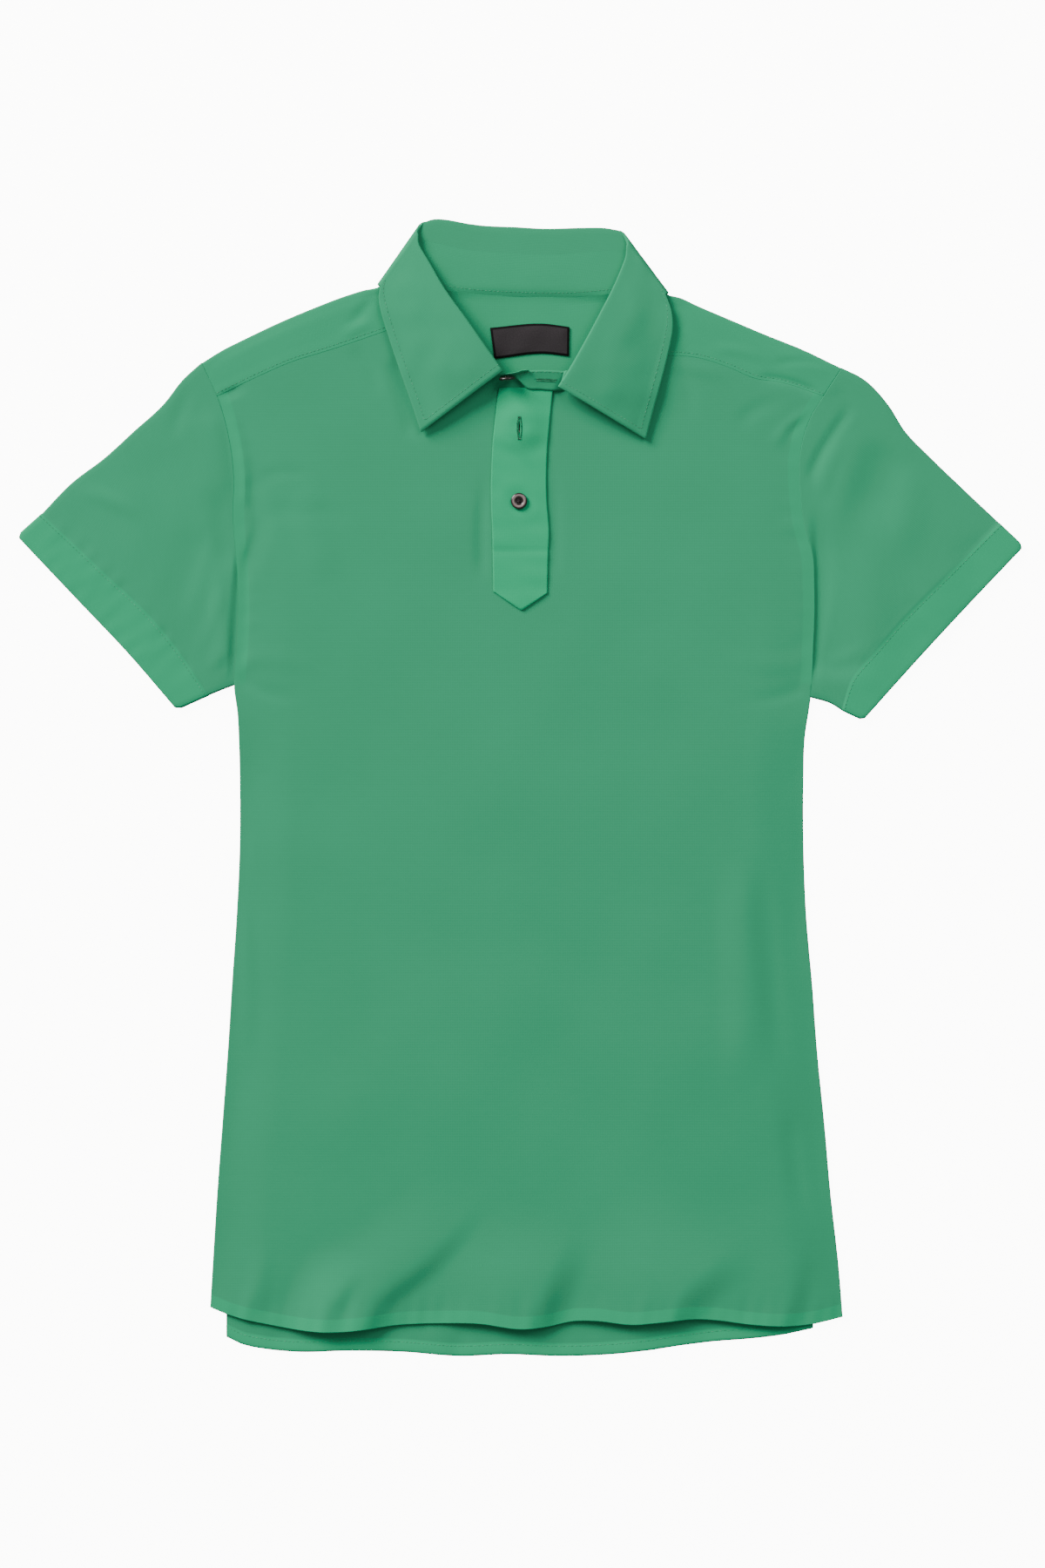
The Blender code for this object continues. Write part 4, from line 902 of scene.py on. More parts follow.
@dataclass
class FrontPanel:
    """The front: armhole bands, turned hem, folds, and the cut-out behind the placket."""

    spacing: float = 3.1
    notch_rows: int = 38
    sheet: Sheet = field(init=False)

    def top(self, x: float) -> float:
        """Upper edge: yoke seams, neckline and the top of the placket cut-out."""
        for part in (YOKE_SEAM_LEFT, NECK_LEFT, NECK_RIGHT, YOKE_SEAM_RIGHT):
            if part[0][0] <= x <= part[-1][0]:
                return float(column(part, x))
        if NECK_LEFT[-1][0] < x < NECK_RIGHT[0][0]:
            return NECK_LEFT[-1][1]
        return SEAM_CORNER

    def columns(self) -> list[tuple[Callable[[Array], Array], bool]]:
        """Lay out the columns.

        Returns:
            For each column, the rule for x at a height, and whether it crosses the cut-out.
        """
        band = BAND_WIDTH + STEP_WIDTH
        inner_left, inner_right = YOKE_SEAM_LEFT[-1][0], YOKE_SEAM_RIGHT[0][0]
        upright = [lambda y, x=x: x + 0 * y for x in (inner_left, NOTCH_LEFT, NOTCH_RIGHT, inner_right)]
        rails = (left_edge, lambda y: left_edge(y) + band, *upright, lambda y: right_edge(y) - band,
                 right_edge)
        parts = ([0.0, 0.08, 0.35, 0.65, 0.9], *(shares(count)[:-1] for count in (42, 22, 12, 22, 42)),
                 [0.0, 0.1, 0.35, 0.65, 0.92, 1.0])
        made = []
        for zone, (start, end, spots) in enumerate(zip(rails, rails[1:], parts)):
            for part in spots:
                inside = zone == 3 or (zone == 4 and part == 0.0)
                made.append((lambda y, s=start, e=end, f=part: blend(s(y), e(y), f), inside))
        return made

    def plan(self) -> Sheet:
        """Lay out the panel."""
        notch = (NOTCH_BOTTOM - FRONT_BASE) / (NECK_LEFT[-1][1] - FRONT_BASE)
        below = int(notch * (NECK_LEFT[-1][1] - FRONT_BASE) / self.spacing)
        shape = spaced((0.0, notch, below), (notch, 1.0, self.notch_rows))
        shape = np.concatenate([shape[:-1], [0.9993, 1.0]])
        hem = np.array(HEM_ROWS)[:, 0]
        rows, inside = [], []
        for rule, crosses in self.columns():
            top, bottom = NECK_LEFT[-1][1], FRONT_BASE
            for _ in range(6):
                top = self.top(float(rule(np.float64(top))))
                bottom = float(column(FRONT_HEM, rule(np.float64(bottom))))
            base = bottom + HEM_WIDTH + STEP_WIDTH
            at_neck = NECK_LEFT[0][0] < float(rule(np.float64(top))) < NECK_RIGHT[-1][0]
            y = np.concatenate([bottom + hem, blend(base, top - (0.05 if at_neck else 0.1), shape)])
            rows.append(np.stack([rule(y), y], axis=-1))
            inside.append(crosses)
        plan = np.array(rows)
        x, y = plan[..., 0], plan[..., 1]
        points = np.dstack([x, y, upper_level(x, y)])
        edge = np.minimum(x - left_edge(y), right_edge(y) - x)
        banded = smooth((BAND_WIDTH + STEP_WIDTH - edge) / STEP_WIDTH) * smooth((y - UNDERARM_LEFT) / 4)
        raised = BAND_RAISE * banded
        raised[:, :len(HEM_ROWS)] = np.array(HEM_ROWS)[:, 1]
        double_layer_light = 0.25 * banded
        double_layer_light[:, :len(HEM_ROWS)] = HEM_PAINTED_LIGHT
        cells = np.zeros((len(x) - 1, x.shape[1] - 1), bool)
        marks = np.array(inside)
        cells[np.ix_(marks[:-1] & marks[1:], np.arange(cells.shape[1]) >= len(HEM_ROWS) + below)] = True
        rim = np.full(x.shape, RIM)
        rim[:, -1] = SEWN_RIM
        rim[(x[:, -1] > NECK_LEFT[0][0]) & (x[:, -1] < NECK_RIGHT[-1][0]), -1] = 0.0
        rim[np.ix_([0, -1], y[0] > UNDERARM_LEFT)] = SEWN_RIM
        self.sheet = Sheet("front_panel", points, plan, raised, double_layer_light, cells, flip=True, rim=rim)
        return self.sheet

    def make(self, finish: Material) -> Object:
        return self.plan().dress(finish, (471.5, 751.5), ("back_panel",), "front")


@dataclass(frozen=True)
class Wing:
    """One half of the yoke: its shoulder fold, front seam and neck side."""

    shoulder: Points
    seam: Points
    edge: Callable[[Array], Array]
    neck_side: Points
    sign: int


@dataclass
class Yoke:
    """The yoke: flat across the back, folded over both shoulders to the front seams."""

    across: int = 34
    middle: int = 46
    back_rows: int = 30
    front_rows: int = 12
    turns: int = 8
    wings: tuple[Wing, Wing] = (
        Wing(SHOULDER_LINE_LEFT, YOKE_SEAM_LEFT, left_edge, NECK_SIDE_LEFT, -1),
        Wing(SHOULDER_LINE_RIGHT, YOKE_SEAM_RIGHT, right_edge, NECK_SIDE_RIGHT, 1),
    )
    sheet: Sheet = field(init=False)

    def back_level(self, x: Array, y: Array) -> Array:
        """Height of the yoke where it lies on the surface or on the collar."""
        near = smooth((y - BACK_YOKE_SEAM) / 12)
        return FLOOR_LEVEL + neck_lift(x, y) + near * 0.12 * (1 + drift(x, y, 40.0, 21))

    def column_of(self, wing: Wing, u: float) -> Array:
        """One column of a wing, from the back seam round the shoulder to the front seam.

        Args:
            wing: the half that it is on.
            u: share of the way from the armhole to the neck.

        Returns:
            The line of points.
        """
        share = 0.002 + 0.990 * u
        fold = along(wing.shoulder, share)
        before, after = (along(wing.shoulder, min(max(share + step, 0.0), 1.0)) for step in (-0.02, 0.02))
        ahead = after - before
        normal = np.array((-ahead[1], ahead[0])) / norm(ahead)
        normal = -normal if normal[1] < 0 else normal
        fold = fold - normal * REACH
        seam_x = blend(float(wing.edge(SEAM_CORNER)), wing.neck_side[0][0], u)
        seam = np.array((seam_x, float(column(wing.seam, seam_x))))
        base = np.array((blend(float(wing.edge(BACK_YOKE_SEAM)), wing.sign * YOKE_MIDDLE, u),
                         BACK_YOKE_SEAM))
        v = shares(self.back_rows)[:-1]
        back = blend(base, fold, v[:, None])
        bow = wing.edge(back[:, 1]) - blend(float(wing.edge(BACK_YOKE_SEAM)), fold[0], v)
        if u == 0:
            back[:, 0] += bow
        turn = np.linspace(0, math.pi, self.turns + 1)
        low = FLOOR_LEVEL + float(neck_lift(fold[0], fold[1]))
        arc = np.column_stack([fold + normal * FOLD_RADIUS * np.sin(turn)[:, None],
                               low + FOLD_RADIUS * (1 - np.cos(turn))])
        w = lipped(self.front_rows, 0.02, start=False)[1:, None]
        front = along(wing.neck_side[::-1], w[:, 0]) if u == 1 else blend(fold, seam, w)
        start = arc[-1, 2] - upper_level(fold[0], fold[1])
        level = upper_level(front[:, 0], front[:, 1]) + start * (1 - smooth(w[:, 0] * 4))
        return np.vstack([
            np.column_stack([back, self.back_level(back[:, 0], back[:, 1])]),
            arc,
            np.column_stack([front, level]),
        ])

    def plan(self) -> Sheet:
        """Lay out both wings and the piece between them."""
        parts = lipped(self.across, 0.004, end=False)
        left, right = ([self.column_of(wing, u) for u in parts] for wing in self.wings)
        wide = len(left[0])
        start, end = left[-1][self.back_rows], right[-1][self.back_rows]
        middle = []
        v = shares(self.back_rows)
        for u in shares(self.middle)[1:-1]:
            neck_x = blend(start[0], end[0], u)
            neck_y = float(column(NECK_BACK, neck_x))
            x = blend(blend(-YOKE_MIDDLE, YOKE_MIDDLE, u), neck_x, v)
            y = blend(BACK_YOKE_SEAM, neck_y, v)
            line = np.column_stack([x, y, self.back_level(x, y)])
            middle.append(np.vstack([line, np.repeat(line[-1:], wide - len(line), axis=0)]))
        points = np.array(left + middle + right[::-1])
        cells = np.zeros((len(points) - 1, wide - 1), bool)
        cells[len(left) - 1:len(left) + len(middle), self.back_rows:] = True
        raised = np.zeros(points.shape[:2])
        raised[:, -4:] = 0.12
        double_layer_light = np.full(points.shape[:2], 0.15)
        rim = np.full(points.shape[:2], RIM)
        rim[:, -1] = SEWN_RIM
        rim[len(left) - 1:len(left) + len(middle) + 1, self.back_rows] = 0.02
        cut = np.dstack([points[..., 0], BACK_YOKE_SEAM + runs(points, 1)])
        self.sheet = Sheet("yoke_piece", points, cut, raised, double_layer_light, cells, flip=True, rim=rim)
        return self.sheet

    def make(self, finish: Material) -> Object:
        return self.plan().dress(finish, (478.0, 178.0), ("back_panel", "front_panel"), "yoke")


@dataclass
class Sleeve:
    """A set-in sleeve: a flattened tube from the armhole to the turned cuff."""

    name: str
    cad_node: str
    shoulder: Points
    hem: Points
    cuff: Points
    underarm: Points
    edge: Callable[[Array], Array]
    side: int
    top_y: float
    low_y: float
    upper_creases: tuple[Crease, ...]
    lower_creases: tuple[Crease, ...]
    crown: float = 1.0
    cuff_crown: float = 0.4
    corner: float = 2.6           # how far the cuff's corners are rounded off
    cuff_raise: float = HEM_RAISE  # what the turned cuff adds to the cloth
    lines: int = 52
    turns: int = 8
    length_rows: int = 56
    seed: int = 31
    sheet: Sheet = field(init=False)

    def armhole(self) -> Array:
        """The seam on the body, moved out by the seam's step."""
        y = np.linspace(self.top_y, self.low_y, 41)
        line = np.column_stack([self.edge(y) + self.side * ARMHOLE_STEP, y])
        line[0] = self.shoulder[0]
        line[-1] = (self.underarm[0][0] + self.side * SEAM_STEP, self.underarm[0][1])
        return line

    def patch(self, s: float, t: Array) -> Array:
        """Points across the sleeve at a share of its length, between its four edges.

        Args:
            s: share of the length, from the armhole to the cuff's row.
            t: shares of the way from the shoulder to the underarm.

        Returns:
            The plan places.
        """
        first, last, start, end = self.armhole(), self.hem, self.shoulder, self.underarm
        t2 = t[:, None]
        corner = ((1 - s) * (1 - t2) * along(first, 0.0) + (1 - s) * t2 * along(first, 1.0)
                  + s * (1 - t2) * along(last, 0.0) + s * t2 * along(last, 1.0))
        return ((1 - s) * along(first, t) + s * along(last, t)
                + (1 - t2) * along(start, s) + t2 * along(end, s) - corner)

    def ring(self, s: float, plan: Callable[[Array], Array], cuffed: bool, pare: float = 0.0) -> Array:
        """One ring of the tube: upper layer, underarm fold, lower layer, shoulder fold.

        Args:
            s: share of the length.
            plan: gives the plan places at shares across.
            cuffed: whether the ring is on the cuff.
            pare: how much narrower it is at each end.

        Returns:
            The ring of points.
        """
        ends = plan(np.array([0.0, 0.02, 0.98, 1.0]))
        trim = (REACH + pare) / norm(ends[3] - ends[0])
        k = shares(self.lines)
        spots = plan(blend(trim, 1 - trim, k))
        top_out = (ends[0] - ends[1]) / norm(ends[0] - ends[1])
        low_out = (ends[3] - ends[2]) / norm(ends[3] - ends[2])
        x, y = spots[:, 0], spots[:, 1]
        inner = np.sin(math.pi * k)
        away = smooth(s * 3)
        swell = self.crown * (self.cuff_crown if cuffed else 1.0) * inner * away
        swell = swell + smooth(inner * 2.5) * 0.22 * away * drift(x, y, 60.0, self.seed)
        swell = swell + smooth(inner * 2.5) * 0.12 * smooth((s - 0.9) * 10) * drift(
            *self.turned(x, y), 11.0, self.seed + 1)
        joins = (1 - smooth(s * 4)) * (inner > 1e-6)
        upper = blend(UPPER_LEVEL + swell, upper_level(x - self.side * 3, y), joins)
        upper = upper + smooth(inner * 2.5) * smooth(s * 30) * lifts(self.upper_creases, x, y)
        lower = FLOOR_LEVEL + smooth(inner * 2.5) * np.clip(lifts(self.lower_creases, x, y), 0.0, 1.0)
        turn = np.linspace(0, math.pi, self.turns + 1)[1:-1]
        out, height = FOLD_RADIUS * np.sin(turn)[:, None], FLOOR_LEVEL + FOLD_RADIUS * (1 + np.cos(turn))
        return np.vstack([
            np.column_stack([spots, upper]),
            np.column_stack([spots[-1] + low_out * out, height]),
            np.column_stack([spots, lower])[::-1],
            np.column_stack([spots[0] + top_out * out, height[::-1]]),
        ])

    def turned(self, x: Array, y: Array) -> tuple[Array, Array]:
        """Plan places along the cuff, squeezed across it, for the pull of its stitches."""
        run = np.asarray(self.cuff[-1], float) - np.asarray(self.cuff[0], float)
        run /= norm(run)
        return x * run[0] + y * run[1], 0.3 * (y * run[0] - x * run[1])

    def plan(self) -> Sheet:
        """Lay out the rings from the armhole to the cuff's edge."""
        rings, cuffed = [], []
        for s in lipped(self.length_rows, 0.004, end=False):
            rings.append(self.ring(s, lambda t, s=s: self.patch(s, t), False))
            cuffed.append(0.0)
        for s in (STEP_WIDTH / CUFF_WIDTH, 0.12, 0.25, 0.4, 0.55, 0.7, 0.85, 0.97, 1.0):
            rings.append(self.ring(1.0, lambda t, s=s: blend(along(self.hem, t), along(self.cuff, t), s),
                                   True, self.corner * max(0.0, (s - 0.84) / 0.16) ** 2))
            cuffed.append(1.0)
        points = np.array(rings)
        raised = np.zeros(points.shape[:2])
        fade = np.linspace(1.0, 0.0, self.turns + 1)[1:-1]
        around = np.concatenate([np.ones(self.lines + 1), fade, np.zeros(self.lines + 1), fade[::-1]])
        marks = np.array(cuffed) > 0
        raised[marks] = self.cuff_raise * around
        raised[-1] *= 0.6
        double_layer_light = np.repeat(0.45 * np.array(cuffed)[:, None], points.shape[1], axis=1)
        wrapped = np.concatenate([points, points[:, :1]], axis=1)
        round_run = runs(wrapped, 1)
        round_run -= round_run[:, self.lines // 2][:, None]
        self.sheet = Sheet(self.name, points, np.dstack([round_run, runs(wrapped, 0)]), raised, double_layer_light,
                           closed=True, flip=self.side > 0)
        return self.sheet

    def make(self, finish: Material) -> Object:
        return self.plan().dress(finish, (492.0, 200.0), ("front_panel",), self.cad_node)


SLEEVES = (
    Sleeve(
        "sleeve_right_piece", "sleeve_right",
        shoulder=((-238.0, 316.9), (-251.2, 304.9), (-266.8, 285.4), (-288.3, 265.9), (-309.7, 246.4),
                  (-335.1, 226.9), (-356.9, 204.4)),
        hem=((-356.9, 204.4), (-328.6, 178.1), (-304.5, 155.4), (-280.5, 133.3), (-257.7, 106.6),
             (-232.0, 68.6)),
        cuff=((-375.4, 187.9), (-329.2, 139.1), (-292.2, 100.1), (-255.8, 57.9)),
        underarm=((-213.6, 76.0), (-226.5, 70.9), (-232.0, 68.6)),
        edge=left_edge, side=-1, top_y=316.6, low_y=UNDERARM_LEFT,
        upper_creases=(
            Crease(((-245, 304), (-254, 282), (-262, 256)), -1.3, 8, 10, 0.3, 0.5),
            Crease(((-334, 226), (-307, 215), (-280, 200)), 0.8, 9, 9),
            Crease(((-236, 196), (-248, 158), (-262, 118)), -0.6, 12, 24),
            Crease(((-222, 150), (-232, 118), (-244, 92)), 0.4, 8, 10),
            Crease(((-216, 96), (-226, 86), (-236, 80)), -0.7, 6, 6),
            Crease(((-290, 236), (-284, 190), (-286, 150)), 0.5, 22, 22),
            Crease(((-214, 178), (-217, 140), (-219, 104), (-220, 72)), 1.2, 6, 18, 0.2, 0.08),
            Crease(((-232, 284), (-226, 240), (-224, 206)), 0.8, 13, 26, 0.2, 0.3),
        ),
        lower_creases=(
            Crease(((-246, 290), (-262, 240), (-270, 190)), 0.7, 12, 12),
            Crease(((-226, 180), (-240, 140), (-262, 110)), 0.6, 10, 10),
            Crease(((-320, 220), (-296, 190), (-280, 150)), 0.5, 14, 14),
        ),
    ),
    Sleeve(
        "sleeve_left_piece", "sleeve_left",
        shoulder=((239.9, 313.0), (255.8, 304.9), (274.6, 285.4), (287.0, 265.9), (305.8, 246.4),
                  (326.0, 226.9), (357.2, 197.4)),
        hem=((357.2, 197.4), (318.8, 159.3), (281.8, 122.2), (262.3, 99.5), (247.3, 81.9),
             (239.5, 57.4)),
        cuff=((375.4, 180.1), (336.4, 139.1), (309.1, 109.9), (255.1, 50.1)),
        underarm=((216.2, 67.0), (232.4, 61.8), (239.5, 57.4)),
        edge=right_edge, side=1, top_y=312.7, low_y=UNDERARM_RIGHT,
        upper_creases=(
            Crease(((214, 226), (222, 246), (233, 264), (247, 284)), -0.9, 6, 7, 0.2, 0.2),
            Crease(((222, 214), (232, 244), (246, 264)), 0.5, 9, 9),
            Crease(((274, 262), (264, 224), (254, 186)), -1.1, 30, 26),
            Crease(((292, 244), (288, 204), (282, 164)), 0.5, 22, 18),
            Crease(((220, 212), (222, 172), (222, 140), (222, 104), (221, 78)), -1.9, 46, 7, 0.3, 0.1),
            Crease(((233, 298), (240, 288), (248, 274)), -1.0, 5, 5, 0.2, 0.4),
            Crease(((224, 92), (240, 96), (262, 108)), 0.3, 8, 8),
        ),
        lower_creases=(
            Crease(((246, 288), (262, 240), (268, 190)), 0.7, 12, 12),
            Crease(((230, 180), (244, 140), (262, 110)), 0.6, 10, 10),
            Crease(((318, 214), (296, 186), (282, 150)), 0.5, 14, 14),
        ),
        cuff_raise=0.39, seed=41,
    ),
)


# ---- collar ----
@dataclass(frozen=True)
class Station:
    """One cross-section of the collar, from the stand's seam to the leaf's edge."""

    roll: Array                   # plan place of the fold's crest
    edge: Array                   # plan place of the leaf's edge
    fall: float                   # plan length from the crest to the stand's top
    inner: Array                  # offset of the inner layer from the plan
    outer: Array                  # offset of the outer layer
    tip: Array                    # offset of the leaf's edge
    bulge: float
    slide: float = 0.0            # how far the stand's top lies further up the shirt
    step: float = 0.0             # how far the leaf's seam lies above the stand's

    def way(self) -> Array:
        """Plan direction from the leaf's edge to the crest."""
        ahead = self.roll - self.edge
        return ahead / norm(ahead)

    def stand_top(self) -> Array:
        """The stand's upper edge."""
        plan = self.roll - self.way() * self.fall
        return np.append(plan, 0.0) + self.inner + np.array((0.0, self.slide, -self.step))

    def leaf_points(self, bends: Array, falls: Array) -> Array:
        """Points of the leaf from the stand's top, round the roll, to the outer edge.

        Args:
            bends: angles round the roll, in radians from the inner to the outer layer.
            falls: shares of the way from the roll to the edge.

        Returns:
            The line of points.
        """
        way = np.append(self.way(), 0.0)
        base = np.append(self.roll - self.way() * self.bulge, 0.0)
        top = self.stand_top() + np.array((0.0, 0.0, self.step))
        start, end = base + self.inner, base + self.outer
        middle, half = (start + end) / 2, (end - start) / 2
        line = [blend(top, start, share) for share in LEAD]
        line += [middle + half * math.sin(b) + way * norm(half) * math.cos(b) for b in bends]
        line += [np.append(blend(base[:2], self.edge, share), 0.0)
                 + blend(self.outer, self.tip, share ** 1.5) for share in falls]
        return np.array(line)


@dataclass
class Collar:
    """A two-piece shirt collar: a stand whose front ends cross, and a leaf folded over it."""

    # roll x, y: crest of the fold; edge x, y: outer edge; fall: crest to the stand's top;
    # slide: how far that top lies up the shirt; level: height of the crest; tip: of the edge
    leaf_left: Points = (
        (-13.3, 309.4, -73.8, 264.6, 4.6, 0.0, 13.4, 6.8),
        (-25.7, 327.0, -80.3, 284.7, 5.0, 0.0, 13.8, 7.0),
        (-39.3, 346.5, -86.8, 302.9, 6.0, 0.0, 13.0, 7.2),
        (-55.6, 369.2, -94.6, 325.7, 8.5, 0.0, 11.0, 7.2),
        (-67.3, 389.4, -102.4, 350.4, 12.0, 0.0, 8.8, 6.9),
        (-75.4, 403.6, -105.0, 363.4, 13.5, 0.0, 7.0, 6.5),
        (-76.2, 411.6, -104.0, 373.2, 10.0, 0.0, 6.1, 6.1),
    )
    leaf_right: Points = (
        (28.3, 297.8, 93.3, 259.4, 5.2, 14.0, 13.4, 6.8),
        (37.4, 312.0, 97.8, 276.9, 5.2, 4.0, 13.8, 7.0),
        (49.1, 332.8, 102.4, 293.8, 6.0, 0.0, 13.0, 7.2),
        (60.1, 353.6, 108.2, 315.9, 8.5, 0.0, 11.0, 7.2),
        (70.5, 374.4, 113.0, 338.7, 12.0, 0.0, 8.8, 6.9),
        (78.2, 393.6, 112.5, 353.6, 13.9, 0.0, 7.0, 6.5),
        (79.4, 403.4, 108.0, 367.0, 8.6, 0.0, 6.1, 6.1),
    )
    # crest of the fold where it turns behind the neck, and the fold's rise between them
    corners: Points = ((-71.3, 421.4), (73.8, 414.8))
    top_ends: Points = ((-72.3, 419.4), (74.9, 412.6))
    top_line: Points = ((0.0, 2.0), (0.02, 2.7), (0.04, 3.9), (0.07, 4.6), (0.11, 4.5), (0.16, 3.6),
                        (0.22, 2.3), (0.29, 1.4), (0.46, 1.3), (0.63, 1.2), (0.72, 2.1), (0.81, 3.1),
                        (0.94, 3.4), (0.97, 2.8), (1.0, 2.2))
    sag: float = 1.0
    roll_radius: float = 1.35
    seam_gap: float = -0.1        # the stand laps over the edge that it is sewn to
    right_step: float = 1.9       # at the right front end the leaf lies on the stand
    # seam x, y and top x, y of the stand's front ends, from the leaf outwards
    left_end: Points = ((-3.6, 296.9, -3.6, 308.1), (7.0, 297.3, 6.2, 311.5))
    right_end: Points = ((14.0, 296.6, 17.0, 309.8), (5.0, 297.4, 5.5, 309.4),
                         (-3.2, 304.6, -4.2, 307.4))
    end_columns: tuple[int, int] = (9, 14)       # of the left and the right end
    left_power: float = 5.0
    stand_power: float = 1.15
    wall: float = 0.95
    front: int = 44
    back: int = 54
    ring_turns: int = 15
    # shares of the stand's height at its rows of points; the buttonhole is cut between two of them
    stand_rows: tuple[float, ...] = (0.0, 0.09, 0.19, 0.29, 0.39, 0.485, 0.52, 0.62, 0.72, 0.81, 0.89,
                                     0.95, 1.0)
    hole_row: int = 5
    hole: tuple[float, float] = (12.5, 26.0)     # x at its ends
    hole_columns: int = 24        # the last columns, where the hole is
    seam_rise_end: float = 0.9    # the stand's buttonhole end lies over the placket's top edge
    leaf: Sheet = field(init=False)
    stand: Sheet = field(init=False)

    def front_stations(self, table: Points, step: float) -> list[Station]:
        """Stations on the front, from the front end to the side of the neck.

        Args:
            table: rows from the front end to the side of the neck.
            step: how far the leaf's seam lies above the stand's at the front end.

        Returns:
            The stations.
        """
        made = []
        keys = shares(len(table) - 1)
        for share in shares(self.front)[:-1]:
            rx, ry, ex, ey, fall, slide, level, tip = hermite(keys, table, share)
            bulge = float(blend(self.roll_radius, (LEAF_RING - STAND_RING) / 2, smooth(share * 1.2)))
            made.append(Station(
                np.array((rx, ry)), np.array((ex, ey)), fall, np.array((0, 0, level - 2 * bulge)),
                np.array((0, 0, level)), np.array((0, 0, tip)), bulge, slide,
                step * float(1 - smooth(share * 2.5))))
        return made

    def side_stations(self, table: Points, side: int) -> list[Station]:
        """Stations round the fold at the side of the neck, front to back.

        Args:
            table: the same rows as on the front.
            side: -1 on the left, 1 on the right.

        Returns:
            The stations.
        """
        roll, edge = np.array(table[-1][:2]), np.array(table[-1][2:4])
        corner = np.array(self.corners[0 if side < 0 else 1])
        ahead = (roll - edge) / norm(roll - edge)
        out = np.array((-ahead[1], ahead[0])) * -side
        made = []
        for turn in np.linspace(0, math.pi, self.ring_turns):
            aside = np.append(out * math.sin(turn), math.cos(turn))
            level = np.array((0, 0, RING_LEVEL))
            outer = aside * LEAF_RING + level
            crest = blend(roll, corner, float(smooth(turn / math.pi)))
            made.append(Station(crest, edge, table[-1][4] + float(norm(crest - roll)),
                                aside * STAND_RING + level, outer, outer, (LEAF_RING - STAND_RING) / 2))
        return made

    def back_stations(self) -> list[Station]:
        """Stations behind the neck, left to right."""
        made = []
        left, right = np.array(self.leaf_left[-1]), np.array(self.leaf_right[-1])
        for share in shares(self.back)[1:-1]:
            roll = blend(*np.array(self.top_ends), share)
            roll[1] += float(column(self.top_line, share))
            edge = blend(left[2:4], right[2:4], share)
            fall = 18.6 + self.sag * math.sin(math.pi * share)
            outer = np.array((0, 0, RING_LEVEL - LEAF_RING))
            made.append(Station(roll, edge, fall, np.array((0, 0, RING_LEVEL - STAND_RING)), outer, outer,
                                (LEAF_RING - STAND_RING) / 2))
        return made

    def plan_leaf(self, stations: list[Station]) -> Sheet:
        """Lay out the leaf, from front point to front point."""
        bends = np.linspace(-math.pi / 2, math.pi / 2, ROLL_POINTS)
        rolled = np.zeros(len(LEAD) + ROLL_POINTS)
        falls = np.array([0.04, 0.08, 0.13, 0.19, 0.25, 0.32, 0.39, 0.46, 0.53, 0.6, 0.67, 0.74, 0.8, 0.85,
                          0.885, 0.91, 0.935, 0.96, 0.982, 1.0])
        points = np.array([s.leaf_points(bends, falls) for s in stations])
        x, y = points[..., 0], points[..., 1]
        fallen = np.concatenate([rolled, smooth(falls / 0.4)])
        on_front = np.concatenate([np.ones(self.front), 1 - smooth(shares(self.ring_turns - 1) * 3)])
        side = np.concatenate([on_front, np.zeros(self.back - 1), on_front[::-1]])
        free = side[:, None] * fallen
        points[..., 2] += free * (0.35 + 0.45 * drift(x, y, 52.0, 51) + 0.15 * drift(x, y, 21.0, 52))
        edge_band = np.concatenate([rolled, smooth((falls - 0.88) / 0.03)])
        end_band = np.zeros(len(stations))
        end_band[[0, 1, -2, -1]] = 1.0
        raised = 0.18 * np.maximum(edge_band, end_band[:, None] * fallen) * side[:, None]
        round_run = np.repeat(runs(points[:, -1], 0)[:, None], points.shape[1], axis=1)
        cut = np.dstack([round_run, runs(points, 1)])
        rim = np.full(points.shape[:2], RIM)
        rim[1:-1, 0] = 0.0
        self.leaf = Sheet("collar_leaf_piece", points, cut, raised, thickness=self.wall, rim=rim)
        return self.leaf

    def strip(self, base: Array, level: float, top: Array, power: float, lift: float = 0.0) -> Array:
        """One column of the stand, from its seam to its upper edge.

        Args:
            base: plan place of the seam.
            level: the seam's height.
            top: the upper edge.
            power: above 1 the strip leaves the seam's level late.
            lift: how much higher all of it lies.

        Returns:
            The line of points.
        """
        share = np.array(self.stand_rows)
        line = blend(np.append(base, level), top, share[:, None])
        line[:, 2] = blend(level, top[2], share ** power) + lift
        return line

